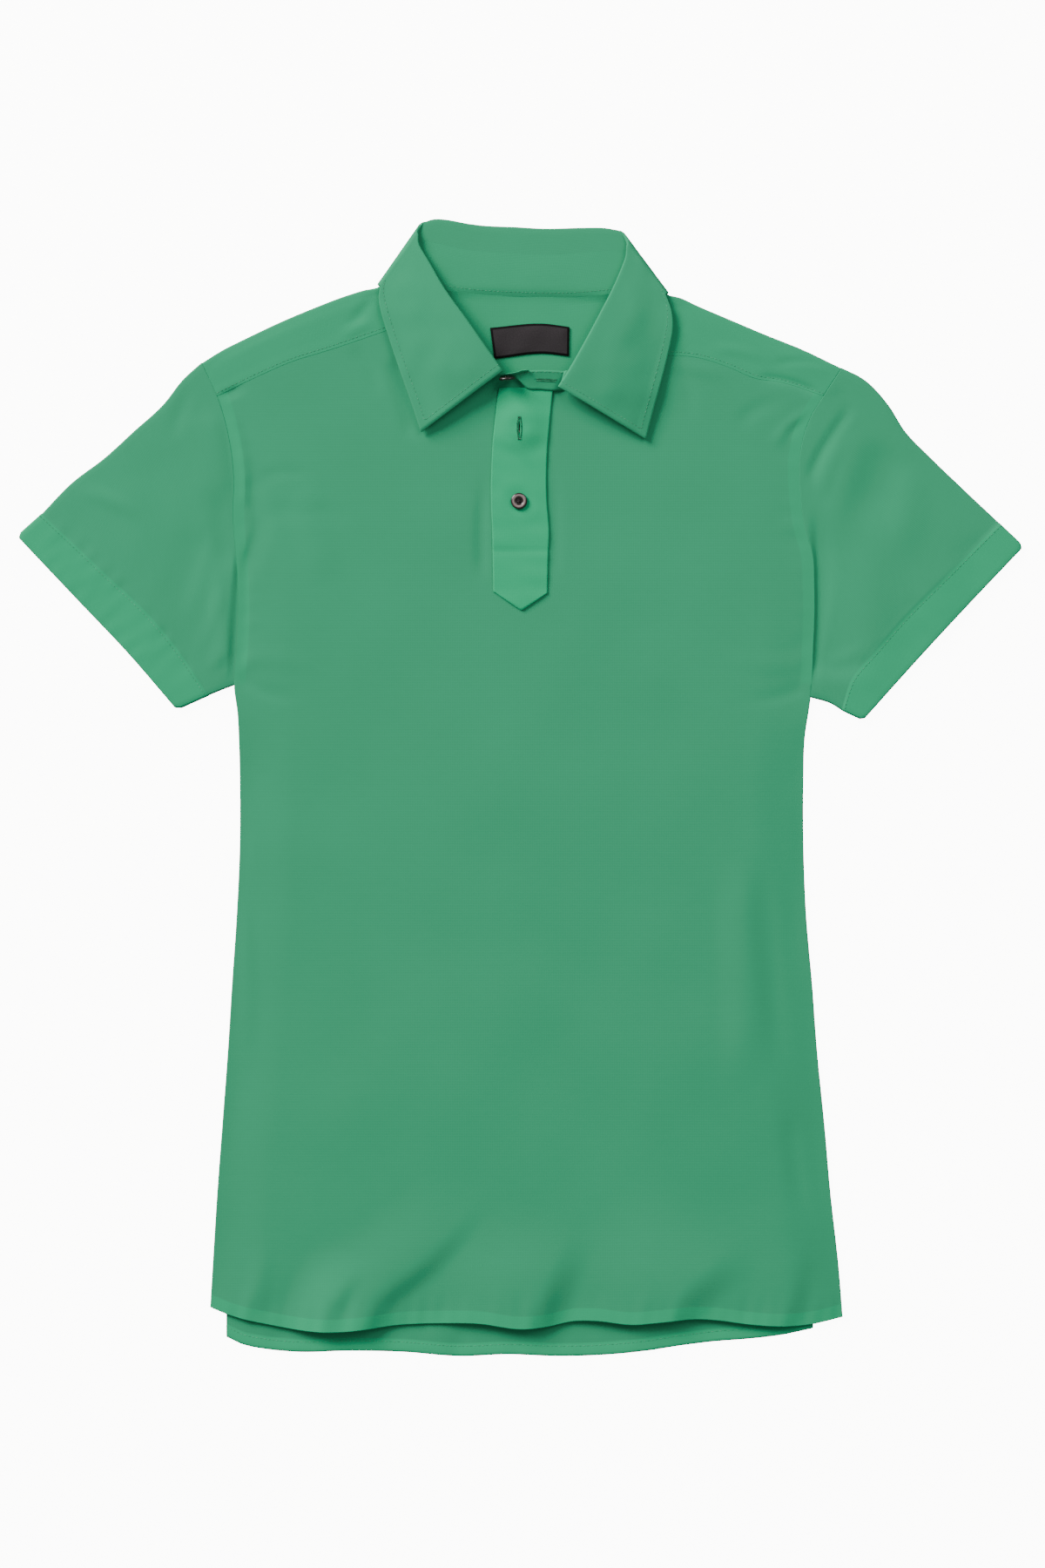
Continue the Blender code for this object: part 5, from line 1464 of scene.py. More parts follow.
    def plan_stand(self, stations: list[Station]) -> Sheet:
        """Lay out the stand, from the button end round the neck to the buttonhole end."""
        left = along(NECK_LEFT[::-1] + NECK_SIDE_LEFT[1:], shares(self.front))[:-1]
        right = along(NECK_RIGHT + NECK_SIDE_RIGHT[1:], shares(self.front))[:-1]
        rings, count = self.ring_turns, self.front
        groups = {
            "left": stations[:count],
            "ring_left": stations[count:count + rings],
            "back": stations[count + rings:count + rings + self.back - 1],
            "ring_right": stations[count + rings + self.back - 1:-count],
            "right": stations[-count:][::-1],
        }
        end_level = UPPER_LEVEL + CROWN
        columns = []
        first_top = groups["left"][0].stand_top()
        ends = np.array([(*left[0], *first_top[:2]), *self.left_end])
        for share in shares(self.end_columns[0])[1:][::-1]:
            row = along(ends, share)
            round_off = float(smooth((share - 0.75) / 0.25))
            base = row[:2] + np.array((0.0, 0.6 + 3.2 * round_off ** 2))
            top = np.array((row[2], row[3] - 1.6 * round_off ** 2,
                            first_top[2] + 0.8 * share + 0.5 * round_off))
            columns.append(self.strip(base, end_level, top, self.left_power))
        columns += self.front_columns(groups["left"], left, self.left_power, 0.0)
        columns += self.ring_columns(groups["ring_left"], NECK_BACK[0])
        share = np.array(self.stand_rows)[:, None]
        for u, station in zip(shares(self.back)[1:-1], groups["back"]):
            x = blend(NECK_BACK[0][0], NECK_BACK[-1][0], u)
            spot = np.array((x, float(column(NECK_BACK, x)) + self.seam_gap))
            line = blend(spot, station.stand_top()[:2], share)
            level = FLOOR_LEVEL + neck_lift(line[:, 0], line[:, 1])
            billow = 1 + drift(line[:, 0], line[:, 1], 45.0, 61)
            level = level + 0.15 * np.sin(math.pi * share[:, 0]) * billow
            columns.append(np.column_stack([line, level]))
        columns += self.ring_columns(groups["ring_right"], NECK_BACK[-1])
        columns += self.front_columns(groups["right"], right, self.stand_power,
                                      PLACKET_LEVEL + self.seam_rise_end)[::-1]
        last_top = groups["right"][0].stand_top()
        ends = np.array([(*columns[-1][0, :2], *last_top[:2]), *self.right_end])
        for share in shares(self.end_columns[1])[1:]:
            row = along(ends, share)
            tip = float(smooth((share - 0.6) / 0.4))
            middle = (row[:2] + row[2:]) / 2
            base = blend(row[:2], middle, 0.5 * tip ** 2)
            top_plan = blend(row[2:], middle, 0.5 * tip ** 2)
            level = end_level + PLACKET_LEVEL + self.seam_rise_end
            top = np.append(top_plan, blend(last_top[2] - 0.2, (level + last_top[2]) / 2, tip ** 2))
            low = float(blend(level, (level + last_top[2]) / 2, 0.75 * tip ** 2))
            columns.append(self.strip(base, low, top, self.stand_power, 0.3 + 0.3 * share))
        points = np.array(columns)
        round_run = np.repeat(runs(points[:, self.hole_row + 1], 0)[:, None], points.shape[1], axis=1)
        cut = np.dstack([round_run, runs(points, 1)])
        double_layer_light = np.full(points.shape[:2], 0.1)
        rim = np.full(points.shape[:2], RIM)
        rim[self.end_columns[0]:-self.end_columns[1] - 2] = 0.0
        middle = points[:, self.hole_row, 0]
        holed = (middle[:-1] > self.hole[0]) & (middle[:-1] < self.hole[1])
        holed[:-self.hole_columns] = False
        cells = np.zeros((len(points) - 1, len(self.stand_rows) - 1), bool)
        cells[holed, self.hole_row] = True
        self.stand = Sheet("collar_stand_piece", points, cut, None, double_layer_light, cells,
                           thickness=self.wall, rim=rim)
        return self.stand

    def front_columns(self, side: list[Station], seam: Array, power: float, rise: float) -> list[Array]:
        """Columns of the stand beside the opening, from its front end to the side of the neck.

        Args:
            side: the stations.
            seam: plan places on the neckline.
            power: how late the strip leaves its seam's level at the front end.
            rise: how far the front end's seam lies above the front.

        Returns:
            The columns.
        """
        made = []
        for k, (station, spot) in enumerate(zip(side, seam)):
            top = station.stand_top()
            spot = spot + (top[:2] - spot) / norm(top[:2] - spot) * self.seam_gap
            level = float(upper_level(*spot)) + rise * float(1 - smooth(k / 4))
            bend = float(blend(power, self.stand_power, smooth(k / 12)))
            made.append(self.strip(spot, level, top, bend))
        return made

    def ring_columns(self, ring: list[Station], seam: Points) -> list[Array]:
        """Columns of the stand round the fold at the side of the neck.

        Args:
            ring: the stations.
            seam: plan place of the seam's corner.

        Returns:
            The columns.
        """
        share = np.array(self.stand_rows)[:, None]
        made = []
        for station in ring:
            top = station.stand_top()
            length = norm(np.array(seam) - (station.roll - station.way() * station.fall))
            foot = top - np.append(station.way() * (length - SEAM_STEP), 0.0)
            made.append(blend(foot, top, share))
        return made

    def make(self, finish: Material) -> list[Object]:
        stations = self.front_stations(self.leaf_left, 0.0)
        stations += self.side_stations(self.leaf_left, -1)
        stations += self.back_stations()
        stations += self.side_stations(self.leaf_right, 1)[::-1]
        stations += self.front_stations(self.leaf_right, self.right_step)[::-1]
        below = ("front_panel", "yoke_piece")
        return [self.plan_leaf(stations).dress(finish, (490.0, 82.0), below, "collar_leaf"),
                self.plan_stand(stations).dress(finish, (470.0, 40.0), below, "collar_stand")]


# ---- placket ----
@dataclass
class Placket:
    """Two strips that overlap at the front opening; the upper one has a pointed end."""

    edges: Points = (
        (145.6, -19.8, 19.8), (175.0, -20.3, 20.5), (189.8, -20.6, 21.1), (214.5, -21.6, 19.4),
        (234.7, -21.4, 19.2), (255.0, -20.4, 20.0), (267.8, -19.2, 21.1), (297.6, -15.9, 24.2),
    )
    tip: tuple[float, float] = (1.0, 132.0)
    slit: tuple[float, float, float] = (-0.7, 260.2, 274.6)      # x, lower and upper y
    slit_half: float = 0.9
    slit_end: float = 0.12
    bump: tuple[float, float, float] = (2.1, 24.0, 6.0)          # height, reach, flat radius
    box_lines: tuple[float, float] = (176.2, 158.0)
    foot: float = 149.0           # where the strip's point starts
    foot_rows: int = 8
    slit_rows: int = 16
    side: int = 18
    upper: Sheet = field(init=False)
    under: Sheet = field(init=False)

    def level(self, x: Array, y: Array) -> Array:
        """Height of the middle of the upper strip's wall."""
        height, reach, flat = self.bump
        away = np.hypot(x - BUTTON_FIRST[0], y - BUTTON_FIRST[1])
        over = height * (1 - smooth((away - flat) / (reach - flat)))
        pull = np.hypot(x - BUTTON_SECOND[0], y - BUTTON_SECOND[1])
        dimple = -0.35 * np.exp(-(pull / 7.0) ** 2) + 0.25 * np.exp(-((pull - 13.0) / 6.0) ** 2)
        drag = 0.45 * np.exp(-((x + 0.8 * (y - 252) + 3) / 5.0) ** 2) * smooth((262 - y) / 8) \
            * smooth((y - 236) / 12)
        ripple = 0.12 * drift(x * 0.4, y, 15.0, 71) - 0.4 * np.exp(-((y - self.box_lines[0]) / 1.9) ** 2)
        return upper_level(x, y) + PLACKET_LEVEL + over + dimple + drag + ripple

    def slit_open(self, y: Array) -> Array:
        """Half the width of the cut buttonhole, a slim lens."""
        low, high = self.slit[1:]
        lens = np.sin(math.pi * np.clip((y - low) / (high - low), 0, 1))
        return self.slit_end + (self.slit_half - self.slit_end) * lens

    def plan_upper(self) -> Sheet:
        """Lay out the upper strip with its cut buttonhole."""
        x_mid, low, high = self.slit
        y = spaced((self.foot, low, 52), (low, high, self.slit_rows), (high, self.edges[-1][0], 10))
        first = self.foot_rows + int(np.argmin(np.abs(y - low)))
        outer = 1 - (1 - shares(self.side)) ** 1.15
        columns = []
        for side in (-1, 1):
            half = []
            inner = x_mid + side * self.slit_open(y)
            border = column(self.edges, y, 1 if side < 0 else 2)
            for part in outer:
                x = blend(inner, border, part)
                slope = abs(float(x[0]) - self.tip[0]) / 20.0
                bottom = blend(self.tip[1], self.edges[0][0], slope)
                point_y = blend(bottom, y[0], shares(self.foot_rows)[:-1])
                half.append(np.column_stack([np.concatenate([np.full(self.foot_rows, x[0]), x]),
                                             np.concatenate([point_y, y])]))
            columns += half[::-1] if side < 0 else half
        plan = np.array(columns)
        x, y = plan[..., 0], plan[..., 1]
        points = np.dstack([x, y, self.level(x, y)])
        cells = np.zeros((len(plan) - 1, plan.shape[1] - 1), bool)
        cells[self.side, first:first + self.slit_rows] = True
        raised = np.zeros(x.shape)
        for k in range(3):
            raised[[k, -1 - k]] = 0.14
        double_layer_light = np.full(x.shape, 0.8)
        self.upper = Sheet("placket_upper_strip", points, plan, raised, double_layer_light, cells, flip=True)
        return self.upper

    def plan_under(self) -> Sheet:
        """Lay out the lower strip, in the front's cut-out."""
        x = np.linspace(NOTCH_LEFT + SEAM_STEP, NOTCH_RIGHT - SEAM_STEP, 13)[:, None]
        y = np.linspace(NOTCH_BOTTOM + SEAM_STEP, NECK_LEFT[-1][1] - SEAM_STEP, 45)[None, :]
        x, y = np.broadcast_arrays(x, y)
        points = np.dstack([x, y, upper_level(x, y)])
        self.under = Sheet("placket_under_strip", points, points[..., :2], None,
                           np.full(x.shape, 0.8), flip=True)
        return self.under

    def make(self, finish: Material) -> list[Object]:
        """Build both strips."""
        return [self.plan_upper().dress(finish, (42.0, 164.0), ("front_panel",), "placket_upper"),
                self.plan_under().dress(finish, (34.0, 120.0), ("back_panel",), "placket_under")]


# ---- label ----
@dataclass
class NeckLabel:
    """A bare woven label, sewn inside the yoke."""

    top: Points = ((-22.4, 342.6), (19.2, 345.5), (36.4, 343.2))
    bottom: Points = ((-19.2, 319.8), (18.5, 323.7), (36.1, 321.8))
    width: float = 57.0
    height: float = 22.0
    level: float = FLOOR_LEVEL + 1.3
    sheet: Sheet = field(init=False)

    def plan(self) -> Sheet:
        """Lay out the label."""
        u, v = shares(44), shares(16)
        low, high = along(self.bottom, u), along(self.top, u)
        plan = blend(low[:, None, :], high[:, None, :], v[None, :, None])
        x, y = plan[..., 0], plan[..., 1]
        border = np.minimum(np.minimum(u, 1 - u)[:, None] * self.width,
                            np.minimum(v, 1 - v) * self.height)
        middle = smooth(border / 5.0)
        points = np.dstack([x, y, self.level + 0.35 * middle * (1 + drift(x, y, 22.0, 81))])
        raised = 0.12 * (1 - smooth((border - 1.2) / 0.8))
        cut = np.dstack([np.broadcast_to(u[:, None] * self.width, x.shape),
                         np.broadcast_to(v * self.height, x.shape)])
        self.sheet = Sheet("neck_label", points, cut, raised, flip=True, thickness=0.5)
        return self.sheet

    def make(self, finish: Material) -> Object:
        return self.plan().dress(finish, (60.0, 24.0), ("yoke_piece",), "label", "label_weave")


# ---- buttons ----
@dataclass
class Button:
    """A four-hole button: a turned rim round a dished well, tumbled round at its edges."""

    name: str
    cad_node: str
    place: tuple[float, float, float]
    tilt: tuple[float, float] = (0.0, 0.0)      # degrees about X, then about Y
    radius: float = 6.1
    thick: float = 2.5
    hole_radius: float = 0.68
    hole_offset: float = 1.4
    segments: int = 64
    # share of the radius, share of the thickness
    profile: Points = (
        (0.0, 0.0), (0.3, 0.0), (0.62, 0.01), (0.76, 0.05), (0.88, 0.14), (0.96, 0.28), (1.0, 0.46),
        (0.995, 0.6), (0.965, 0.74), (0.91, 0.85), (0.85, 0.92), (0.78, 0.97), (0.7, 1.0),
        (0.63, 0.98), (0.58, 0.91), (0.545, 0.8), (0.505, 0.7), (0.46, 0.63), (0.4, 0.6), (0.3, 0.58),
        (0.0, 0.57),
    )

    def shape(self) -> Mesh:
        """The turned blank, at the origin, in metres."""
        spots, faces = [(0.0, 0.0, 0.0)], []
        rings = []
        for out, height in self.profile[1:-1]:
            rings.append(len(spots))
            for k in range(self.segments):
                turn = 2 * math.pi * k / self.segments
                spots.append((out * self.radius * math.cos(turn), out * self.radius * math.sin(turn),
                              height * self.thick))
        spots.append((0.0, 0.0, self.profile[-1][1] * self.thick))
        for k in range(self.segments):
            after = (k + 1) % self.segments
            faces.append((0, rings[0] + after, rings[0] + k))
            faces += [(a + k, a + after, b + after, b + k) for a, b in zip(rings, rings[1:])]
            faces.append((rings[-1] + k, rings[-1] + after, len(spots) - 1))
        return meshed(self.name, (np.array(spots) * MM).tolist(), faces)

    def hole(self, k: int) -> Array:
        """Plan place of the middle of one of the four holes, from the button's own middle."""
        turn = math.pi / 4 + k * math.pi / 2
        return np.array((math.cos(turn), math.sin(turn))) * self.hole_offset

    def drills(self) -> Object:
        """Four round pins, one for each hole."""
        sides = 20
        spots, faces = [], []
        for x, y in map(self.hole, range(4)):
            start = len(spots)
            for height in (-self.thick, 2 * self.thick):
                for n in range(sides):
                    a = 2 * math.pi * n / sides
                    spots.append((x + self.hole_radius * math.cos(a), y + self.hole_radius * math.sin(a),
                                  height))
            faces += [(start + n, start + (n + 1) % sides, start + sides + (n + 1) % sides,
                       start + sides + n) for n in range(sides)]
            faces += [tuple(start + n for n in reversed(range(sides))),
                      tuple(start + sides + n for n in range(sides))]
        name = f"{self.name}_drills"
        return placed(name, meshed(name, (np.array(spots) * MM).tolist(), faces))

    def turned(self, spots: Array) -> Array:
        """Places in the button's own frame, in mm, moved to the shirt."""
        a, b = (math.radians(t) for t in self.tilt)
        about_x = np.array(((1, 0, 0), (0, math.cos(a), -math.sin(a)), (0, math.sin(a), math.cos(a))))
        about_y = np.array(((math.cos(b), 0, math.sin(b)), (0, 1, 0), (-math.sin(b), 0, math.cos(b))))
        return spots @ (about_x @ about_y).T + np.array(self.place)

    def make(self, finish: Material) -> Object:
        """Build the button with its holes and put it in place."""
        blank, pins = placed(f"{self.name}_blank", self.shape()), self.drills()
        cut = blank.modifiers.new("holes", "BOOLEAN")
        cut.operation = "DIFFERENCE"
        cut.solver = "EXACT"
        cut.object = pins
        mesh = settled(blank)
        bpy.data.objects.remove(pins)
        mesh.name = self.name
        spots = np.zeros(len(mesh.vertices) * 3)
        mesh.vertices.foreach_get("co", spots)
        spots = spots.reshape(-1, 3) / MM
        out = np.hypot(spots[:, 0], spots[:, 1]) / self.radius
        high = spots[:, 2] / self.thick
        # painted highlight: a pale ring on the upper crest of the rim
        ring = smooth((out - 0.5) / 0.08) * (1 - smooth((out - 0.76) / 0.06))
        mark = mesh.attributes.new("rim_highlight", "FLOAT", "POINT")
        mark.data.foreach_set("value", ring * smooth((high - 0.55) / 0.3))
        mesh.vertices.foreach_set("co", (self.turned(spots) * MM).reshape(-1))
        mesh.materials.clear()
        mesh.materials.append(finish)
        mesh.shade_smooth()
        mesh.set_sharp_from_angle(angle=math.radians(50))
        mesh.update()
        made = placed(self.name, mesh)
        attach(made, "root")
        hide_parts(self.cad_node)
        LOG.info("%s: %.1f mm across, %d points", self.name, 2 * self.radius, len(mesh.vertices))
        return made

    def cross(self) -> list[Array]:
        """Thread paths across the well, between opposite holes, and down the holes."""
        top = 0.58 * self.thick
        made = []
        for first in (0, 1):
            start, end = self.hole(first), self.hole(first + 2)
            for shift in (-0.22, 0.0, 0.22):
                aside = np.array((-(end - start)[1], (end - start)[0]))
                aside *= shift / norm(aside)
                high = top + 0.18 + (0.16 if first else 0.0)
                path = [(*(start + aside), -0.6), (*(start + aside), top - 0.1)]
                path += [(*(blend(start, end, t) + aside), high + 0.08 * math.sin(math.pi * t))
                         for t in (0.08, 0.3, 0.5, 0.7, 0.92)]
                path += [(*(end + aside), top - 0.1), (*(end + aside), -0.6)]
                made.append(self.turned(np.array(path)))
        return made


# ---- stitching ----
class Seam(Enum):
    """How a thread shows."""

    LOCKSTITCH = "lockstitch"     # a row of separate short stitches
    LAID = "laid_thread"          # one unbroken thread, as round a buttonhole


@dataclass
class Stitching:
    """Threads of one colour, gathered as lines in mm and made into one piece."""

    name: str
    pitch: float = 3.0            # from stitch to stitch
    length: float = 2.3           # of a stitch that shows
    thick: float = 0.36           # across the thread
    laid_thick: float = 0.34
    lowest: float = 0.14          # the middle of a thread never sinks below this height
    pressed: float = 0.02         # the surface that the shirt lies on presses threads flat here
    seed: int = 5
    rows: list[Array] = field(default_factory=list)
    laid: list[Array] = field(default_factory=list)

    def row(self, sheet: Sheet, i: Array | float, j: Array | float, under: bool = False,
            count: int = 160) -> None:
        """Add a row of stitches along a line of a sheet's grid.

        Args:
            sheet: the cloth.
            i: grid places, the first index: a number, or numbers at even shares of the row.
            j: grid places, the second index, given in the same way.
            under: True for the sheet's inner side.
            count: how many points the line has.
        """
        t = shares(count)
        spread = [np.interp(t, np.linspace(0, 1, np.size(k)), np.ravel(k)) for k in (i, j)]
        self.rows.append(sheet.trace(spread[0], spread[1], self.thick * 0.12, under))

    def tree(self, kind: Seam) -> Tree:
        """The node tree that turns lines into thread.

        Args:
            kind: separate stitches or an unbroken thread.

        Returns:
            The tree, with its sizes as inputs in metres.
        """
        tree = bpy.data.node_groups.new(f"{self.name}_{kind.value}", "GeometryNodeTree")
        tree.is_modifier = True
        face = tree.interface
        face.new_socket("Lines", in_out="INPUT", socket_type="NodeSocketGeometry")
        for label, kept in (("Pitch", "Float"), ("Stitch Length", "Float"), ("Thickness", "Float"),
                            ("Seed", "Int"), ("Thread", "Material")):
            face.new_socket(label, in_out="INPUT", socket_type=f"NodeSocket{kept}")
        face.new_socket("Geometry", in_out="OUTPUT", socket_type="NodeSocketGeometry")
        given = node(tree, "NodeGroupInput").outputs
        half = node(tree, MATH, {"operation": "MULTIPLY", 0: given["Thickness"], 1: 0.5})
        curve = node(tree, "GeometryNodeMeshToCurve", {"Mesh": given["Lines"]})
        if kind is Seam.LOCKSTITCH:
            points = node(tree, "GeometryNodeResampleCurve",
                          {"mode": "LENGTH", "Curve": curve, "Length": given["Pitch"]})
            turn = node(tree, "FunctionNodeAlignRotationToVector",
                        {"axis": "X", "Vector": node(tree, "GeometryNodeInputTangent")})
            uneven = node(tree, "FunctionNodeRandomValue",
                          {"Min": 0.42, "Max": 0.54, "Seed": given["Seed"]})
            long = node(tree, MATH, {"operation": "MULTIPLY", 0: given["Stitch Length"],
                                     1: uneven.outputs["Value"]})
            size = node(tree, "ShaderNodeCombineXYZ", {0: long, 1: half, 2: half})
            grain = node(tree, "GeometryNodeMeshUVSphere", {"Segments": 6, "Rings": 4, "Radius": 1.0})
            made = node(tree, "GeometryNodeInstanceOnPoints",
                        {"Points": points, "Instance": grain, "Rotation": turn, "Scale": size})
        else:
            ring = node(tree, "GeometryNodeCurvePrimitiveCircle", {"Resolution": 6, "Radius": half})
            made = node(tree, "GeometryNodeCurveToMesh",
                        {"Fill Caps": True, "Curve": curve, "Profile Curve": ring})
        real = node(tree, "GeometryNodeRealizeInstances", {0: made})
        node(tree, "NodeGroupOutput", {
            0: node(tree, "GeometryNodeSetMaterial", {"Geometry": real, "Material": given["Thread"]})})
        return tree

    def threads(self, kind: Seam, lines: list[Array], finish: Material) -> Mesh:
        """Run the node tree on lines of points and keep the result as a plain mesh.

        Args:
            kind: separate stitches or an unbroken thread.
            lines: the lines, in mm.
            finish: the thread's material.

        Returns:
            The mesh, in metres.
        """
        spots, edges = [], []
        for line in lines:
            line = np.array(line)
            line[:, 2] = np.maximum(line[:, 2], self.lowest)
            start = len(spots)
            spots += (line * MM).tolist()
            edges += [(start + k, start + k + 1) for k in range(len(line) - 1)]
        name = f"{self.name}_lines"
        holder = placed(name, meshed(name, spots, [], edges))
        tree = self.tree(kind)
        given = {"Pitch": self.pitch * MM, "Stitch Length": self.length * MM, "Seed": self.seed,
                 "Thickness": (self.thick if kind is Seam.LOCKSTITCH else self.laid_thick) * MM,
                 "Thread": finish}
        maker = holder.modifiers.new("thread", "NODES")
        maker.node_group = tree
        for item in tree.interface.items_tree:
            if item.in_out == "INPUT" and item.name in given:
                maker[item.identifier] = given[item.name]
        return settled(holder)

    def make(self, finish: Material, slot: str | None) -> Object:
        """Build the threads as one piece that rides with the shirt.

        Args:
            finish: the thread's material.
            slot: the record's material slot, if it has one; not used.

        Returns:
            The piece.
        """
        parts = [self.threads(kind, lines, finish)
                 for kind, lines in ((Seam.LOCKSTITCH, self.rows), (Seam.LAID, self.laid)) if lines]
        spots, faces = [], []
        for part in parts:
            start = len(spots)
            spots += [(v.co.x, v.co.y, max(v.co.z, self.pressed * MM)) for v in part.vertices]
            faces += [tuple(start + k for k in face.vertices) for face in part.polygons]
        mesh = meshed(self.name, spots, faces)
        mesh.materials.append(finish)
        mesh.shade_smooth()
        made = placed(self.name, mesh)
        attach(made, "root")
        LOG.info("%s: %d rows, %d laid threads, %d faces", self.name, len(self.rows), len(self.laid),
                 len(faces))
        return made


@dataclass
class Sewing:
    """Where the thread runs on each piece."""

    edge_inset: float = 5.5       # collar edge to its row
    hem_row: float = 6.1          # grid row of the hem stitches, between two rows of points
    band_row: float = 3.5
    zigzags: int = 38
    bar: float = 1.2              # width of the buttonhole's edging

    def body(self, thread: Stitching, front: Sheet, back: Sheet, yoke: Sheet, plan: Yoke) -> None:
        """Hems, armhole bands and yoke seams.

        Args:
            thread: what the rows go to.
            front: the front.
            back: the back.
            yoke: the yoke.
            plan: how the yoke was laid out.
        """
        columns, rows = front.points.shape[:2]
        thread.row(front, (0.4, columns - 1.4), self.hem_row)
        for side, underarm, i in ((3, UNDERARM_LEFT, self.band_row),
                                  (-4, UNDERARM_RIGHT, columns - 1 - self.band_row)):
            first = int(np.searchsorted(front.points[side, :, 1], underarm + 3))
            thread.row(front, i, (first, rows - 2.3))
        columns, rows = back.points.shape[:2]
        for under in (False, True):
            thread.row(back, (0.3, columns - 1.3), self.hem_row, under)
        first = int(np.searchsorted(back.points[2, :, 1], UNDERARM_LEFT + 3))
        for i in (2.9, columns - 3.9):
            thread.row(back, i, (first, rows - 1.3), True)
        columns, rows = yoke.points.shape[:2]
        thread.row(yoke, (1.2, plan.across + 0.7), rows - 2.9)
        thread.row(yoke, (columns - 1.7 - plan.across, columns - 2.2), rows - 2.9)
        thread.row(yoke, (0.3, columns - 1.3), 0.8, True)

    def sleeves(self, thread: Stitching, sleeves: Sequence[Sleeve]) -> None:
        """One row round each cuff."""
        for sleeve in sleeves:
            around = sleeve.sheet.points.shape[1] - 1
            thread.row(sleeve.sheet, sleeve.length_rows + 2.7, (0, around))

    def collar(self, thread: Stitching, collar: Collar) -> None:
        """Rows round the leaf's edges, along the stand's seam and round its end.

        Args:
            thread: what the rows go to.
            collar: the collar.
        """
        leaf = collar.leaf
        count = len(leaf.points)
        lead = len(LEAD) + ROLL_POINTS
        falls = runs(leaf.points[:, lead:], 1)
        rows = [lead + np.interp(run[-1] - self.edge_inset, run, np.arange(len(run))) for run in falls]
        start, end = 1.9, count - 2.9
        i_edge = np.linspace(start, end, 400)
        j_edge = np.interp(i_edge, np.arange(count), rows)
        down = np.linspace(13.0, j_edge[0], 60)
        i = np.concatenate([np.full(60, start), i_edge, np.full(60, end)])
        j = np.concatenate([down, j_edge, down[::-1]])
        thread.row(leaf, i, j, count=900)
        stand = collar.stand
        count, wide = stand.points.shape[:2]
        thread.row(stand, (1.0, count - 6.0), 1.1, count=400)
        thread.row(stand, (count - 30.0, count - 3.0), (wide - 2.0, wide - 2.2), True, 120)
        # the flat buttonhole of the stand's end
        middle = stand.points[:, collar.hole_row]
        order = np.arange(count - collar.hole_columns, count)[::-1]
        low, high = (float(np.interp(x, middle[order, 0], order)) for x in collar.hole)
        for edge, side in ((collar.hole_row, -1), (collar.hole_row + 1, 1)):
            t = shares(2 * 26)
            away = np.where(np.arange(len(t)) % 2, 0.6, 0.06) * side
            thread.laid.append(stand.trace(blend(low + 0.2, high - 0.2, t), edge + away, 0.1, True))

    def placket(self, thread: Stitching, placket: Placket) -> None:
        """Rows beside the strip's edges, the box at its foot, and the cut buttonhole's edging.

        Args:
            thread: what the rows go to.
            placket: the placket.
        """
        strip = placket.upper
        columns, rows = strip.points.shape[:2]
        last = columns - 1
        inset = 1.7
        for i in (inset, last - inset):
            thread.row(strip, i, (placket.foot_rows, rows - 1.4))
        i = np.linspace(inset, last - inset, 60)
        foot = np.array([np.interp(k, np.arange(columns), strip.points[:, 0, 1]) for k in i])
        rows_down = placket.foot_rows
        thread.row(strip, i, np.clip(2.0 / ((placket.foot - foot) / rows_down), 0, rows_down), count=60)
        for y in placket.box_lines:
            j = float(np.interp(y, strip.points[columns // 2, :, 1], np.arange(rows)))
            thread.row(strip, (inset, last - inset), j, count=40)
        x_mid, low, high = placket.slit
        for side in (-1, 1):
            t = shares(2 * self.zigzags)
            y = blend(low - 0.6, high + 0.6, t)
            x = x_mid + side * (placket.slit_open(y) + np.where(np.arange(len(t)) % 2, self.bar, 0.05))
            z = placket.level(x, y) + CLOTH / 2 + 0.08
            thread.laid.append(np.column_stack([x, y, z]))
        for y0, way in ((low - 0.5, -1), (high + 0.5, 1)):
            t = shares(12)
            x = x_mid + blend(-self.bar, self.bar, t)
            y = y0 + way * np.where(np.arange(len(t)) % 2, 1.0, 0.0)
            thread.laid.append(np.column_stack([x, y, placket.level(x, y) + CLOTH / 2 + 0.12]))

    def label(self, thread: Stitching, label: NeckLabel) -> None:
        """A row along each short side of the label."""
        columns, rows = label.sheet.points.shape[:2]
        for i in (0.7, columns - 1.7):
            thread.row(label.sheet, i, (0.6, rows - 1.6), count=30)


# ---- studio ----
@dataclass(frozen=True)
class Lamp:
    """A soft square light."""

    name: str
    place: tuple[float, float, float]
    size: float
    power: float

    def make(self) -> None:
        """Add the light, aimed at the middle of the shirt."""
        data = bpy.data.lights.new(self.name, "AREA")
        data.shape = "SQUARE"
        data.size = self.size
        data.energy = self.power
        lamp = placed(self.name, data)
        lamp.location = self.place
        lamp.rotation_euler = (-Vector(self.place)).to_track_quat("-Z", "Y").to_euler()


